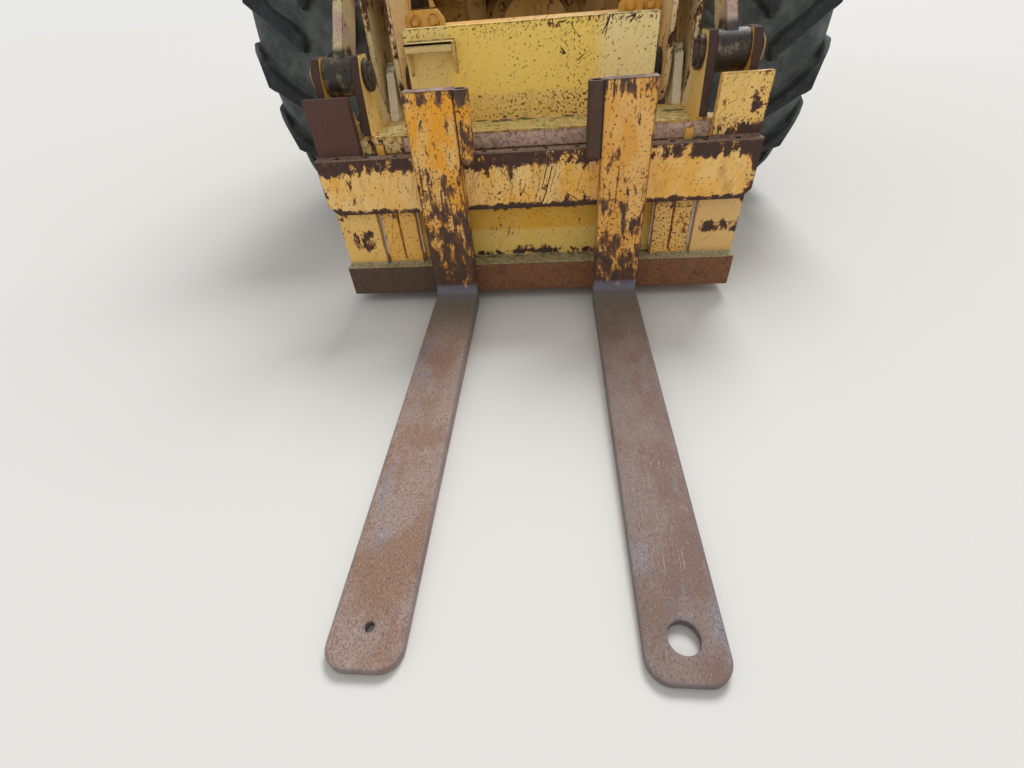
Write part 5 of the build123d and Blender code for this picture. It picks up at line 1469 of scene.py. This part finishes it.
def makeHoodTop():
    look = hood
    x, y = look["exhaust"]
    bm = bmesh.new()
    for z in look["clamps"]:
        addRound(bm, (x, y, z), 26, 68, "z", 36, 3)
        addBlock(bm, (x + 62, y - 12, z + 3), (x + 90, y + 12, z + 23), 3)
        addBolt(bm, (x + 80, y - 12, z + 13), (0, -1, 0), 13)
    addRound(bm, (x, y, look["collar"]), 14, 96, "z", 40, 4, 84)
    makePiece("exhaustClamps", bm, scaledSteel, "rear_frame")
    x, y = look["intake"]
    bm = bmesh.new()
    addRound(bm, (x, y, look["collar"] + 8), 16, 84, "z", 40, 4, 70)
    for z in look["bowl"]:
        addRound(bm, (x, y, z), 16, 125, "z", 48, 5)
    count, circle = look["ribs"]
    for across, along in around(count, circle):
        addRound(bm, (x + across, y + along, look["bowl"][0] + 14), 112, 6, "z", 8, 1)
    makePiece("precleanerRibs", bm, blackPlastic, "rear_frame")
    frontY, frontZ, backY, backZ = look["top"]
    half, low, high = look["handle"]
    bm = bmesh.new()
    for x in (-look["handleX"], look["handleX"]):
        for share in look["handleShares"]:
            y = frontY + (backY - frontY) * share
            z = frontZ + (backZ - frontZ) * share
            bar = ((-half, -2), (-half, low), (0, high), (half, low), (half, -2))
            addPipe(bm, [(x + out, y, z + up) for out, up in bar], 7)
    makePiece("hoodHandles", bm, blackPlastic, "rear_frame")
    y, half, low, high = look["grille"]
    bm = bmesh.new()
    for x in (22 - half, half - 22):
        for z in (low + 24, (low + high) / 2, high - 24):
            addBolt(bm, (x, y, z), (0, 1, 0), 14)
    makePiece("grilleBolts", bm, zincPlated, "rear_frame")


tanks = {
    "x": (630, 1120),
    "y": (1800, 2180),
    "z": (560, 1180),
    "cap": (900, 2050),
    "strapInset": (90, 100),
    "strapWidth": 34,
    "deck": (645, 1150, 1760, 2230, 1530),
    "studs": 9,  # rows and columns
}


def makeTankDetails():
    look = tanks
    (x0, x1), (y0, y1), (z0, z1) = look["x"], look["y"], look["z"]
    x, y = look["cap"]
    caps = bmesh.new()
    straps = bmesh.new()
    for side in bothSides:
        addRound(caps, (side * x, y, z1), 34, 52, "z", 32, 5)
        addRound(caps, (side * x, y, z1 + 30), 22, 44, "z", 12, 4)
        square = ((x0 - 3, z0 - 3), (x1 + 3, z0 - 3), (x1 + 3, z1 + 3), (x0 - 3, z1 + 3))
        corners = [(side * x, z) for x, z in square]
        for strapY in (y0 + look["strapInset"][0], y1 - look["strapInset"][1]):
            for start, end in zip(corners, corners[1:] + corners[:1]):
                low = [min(a, b) - 2 for a, b in zip(start, end)]
                high = [max(a, b) + 2 for a, b in zip(start, end)]
                addBlock(straps, (low[0], strapY, low[1]), (high[0], strapY + look["strapWidth"], high[1]),
                         1.2)
    makePiece("fillerCaps", caps, blackPlastic, "rear_frame")
    makePiece("tankStraps", straps, greyEnamel, "rear_frame")
    # raised grip studs on the decks
    x0, x1, y0, y1, top = look["deck"]
    steps = look["studs"] - 1
    bm = bmesh.new()
    for side in bothSides:
        for column in range(look["studs"]):
            for row in range(look["studs"]):
                x = x0 + 80 + column * (x1 - x0 - 130) / steps
                y = y0 + 34 + row * (y1 - y0 - 68) / steps
                addRound(bm, (side * x, y, top - 0.5), 4.5, 11, "z", 10, 0, 7)
    makePiece("deckStuds", bm, greyEnamel, "rear_frame", 30)


weight = {
    "back": 4850,
    "top": 1330,
    "pin": (4790, 978),
    "handle": (46, 56, 74),  # half its width, height of its shoulders and of its top
    "topBolts": (760, (4450, 4640), 46),
    "backBolts": (430, (860, 1000), 30),
    "hinge": (1500, (635, 1255), 74),  # y, z of its two caps, radius
    "hingeBolts": (52, 20, (0.4, 2.5, 4.6)),
}


def makeRearDetails():
    look = weight
    y, z = look["pin"]
    half, shoulder, top = look["handle"]
    bm = bmesh.new()
    addRound(bm, (0, y, z), 16, 34, "z", 28, 4)
    bar = ((-half, 14), (-half, shoulder), (0, top), (half, shoulder), (half, 14))
    addPipe(bm, [(x, y, z + up) for x, up in bar], 7)
    makePiece("towPinHandle", bm, greased, "rear_frame")
    bm = bmesh.new()
    for side in bothSides:
        x, ys, across = look["topBolts"]
        for y in ys:
            addBolt(bm, (side * x, y, look["top"]), (0, 0, 1), across)
        x, zs, across = look["backBolts"]
        for z in zs:
            addRound(bm, (side * x, look["back"] - 1, z), 12, 34, "y", 28, 4)
            addBolt(bm, (side * x, look["back"] + 9, z), (0, 1, 0), across)
    makePiece("weightBolts", bm, castIron, "rear_frame")
    y, zs, radius = look["hinge"]
    circle, across, turns = look["hingeBolts"]
    bm = bmesh.new()
    for z in zs:
        addRound(bm, (0, y, z), 14, radius, "z", 36, 4)
        for turn in turns:
            addBolt(bm, (circle * math.cos(turn), y + circle * math.sin(turn), z + 14), (0, 0, 1), across)
    makePiece("hingePinCaps", bm, machineEnamel, "rear_frame")


makeHeadlamps()
makeOtherLamps()
makeMirrors()
makeHoodSides()
makeHoodTop()
makeTankDetails()
makeRearDetails()
print("lamps, hood, tanks and counterweight made")
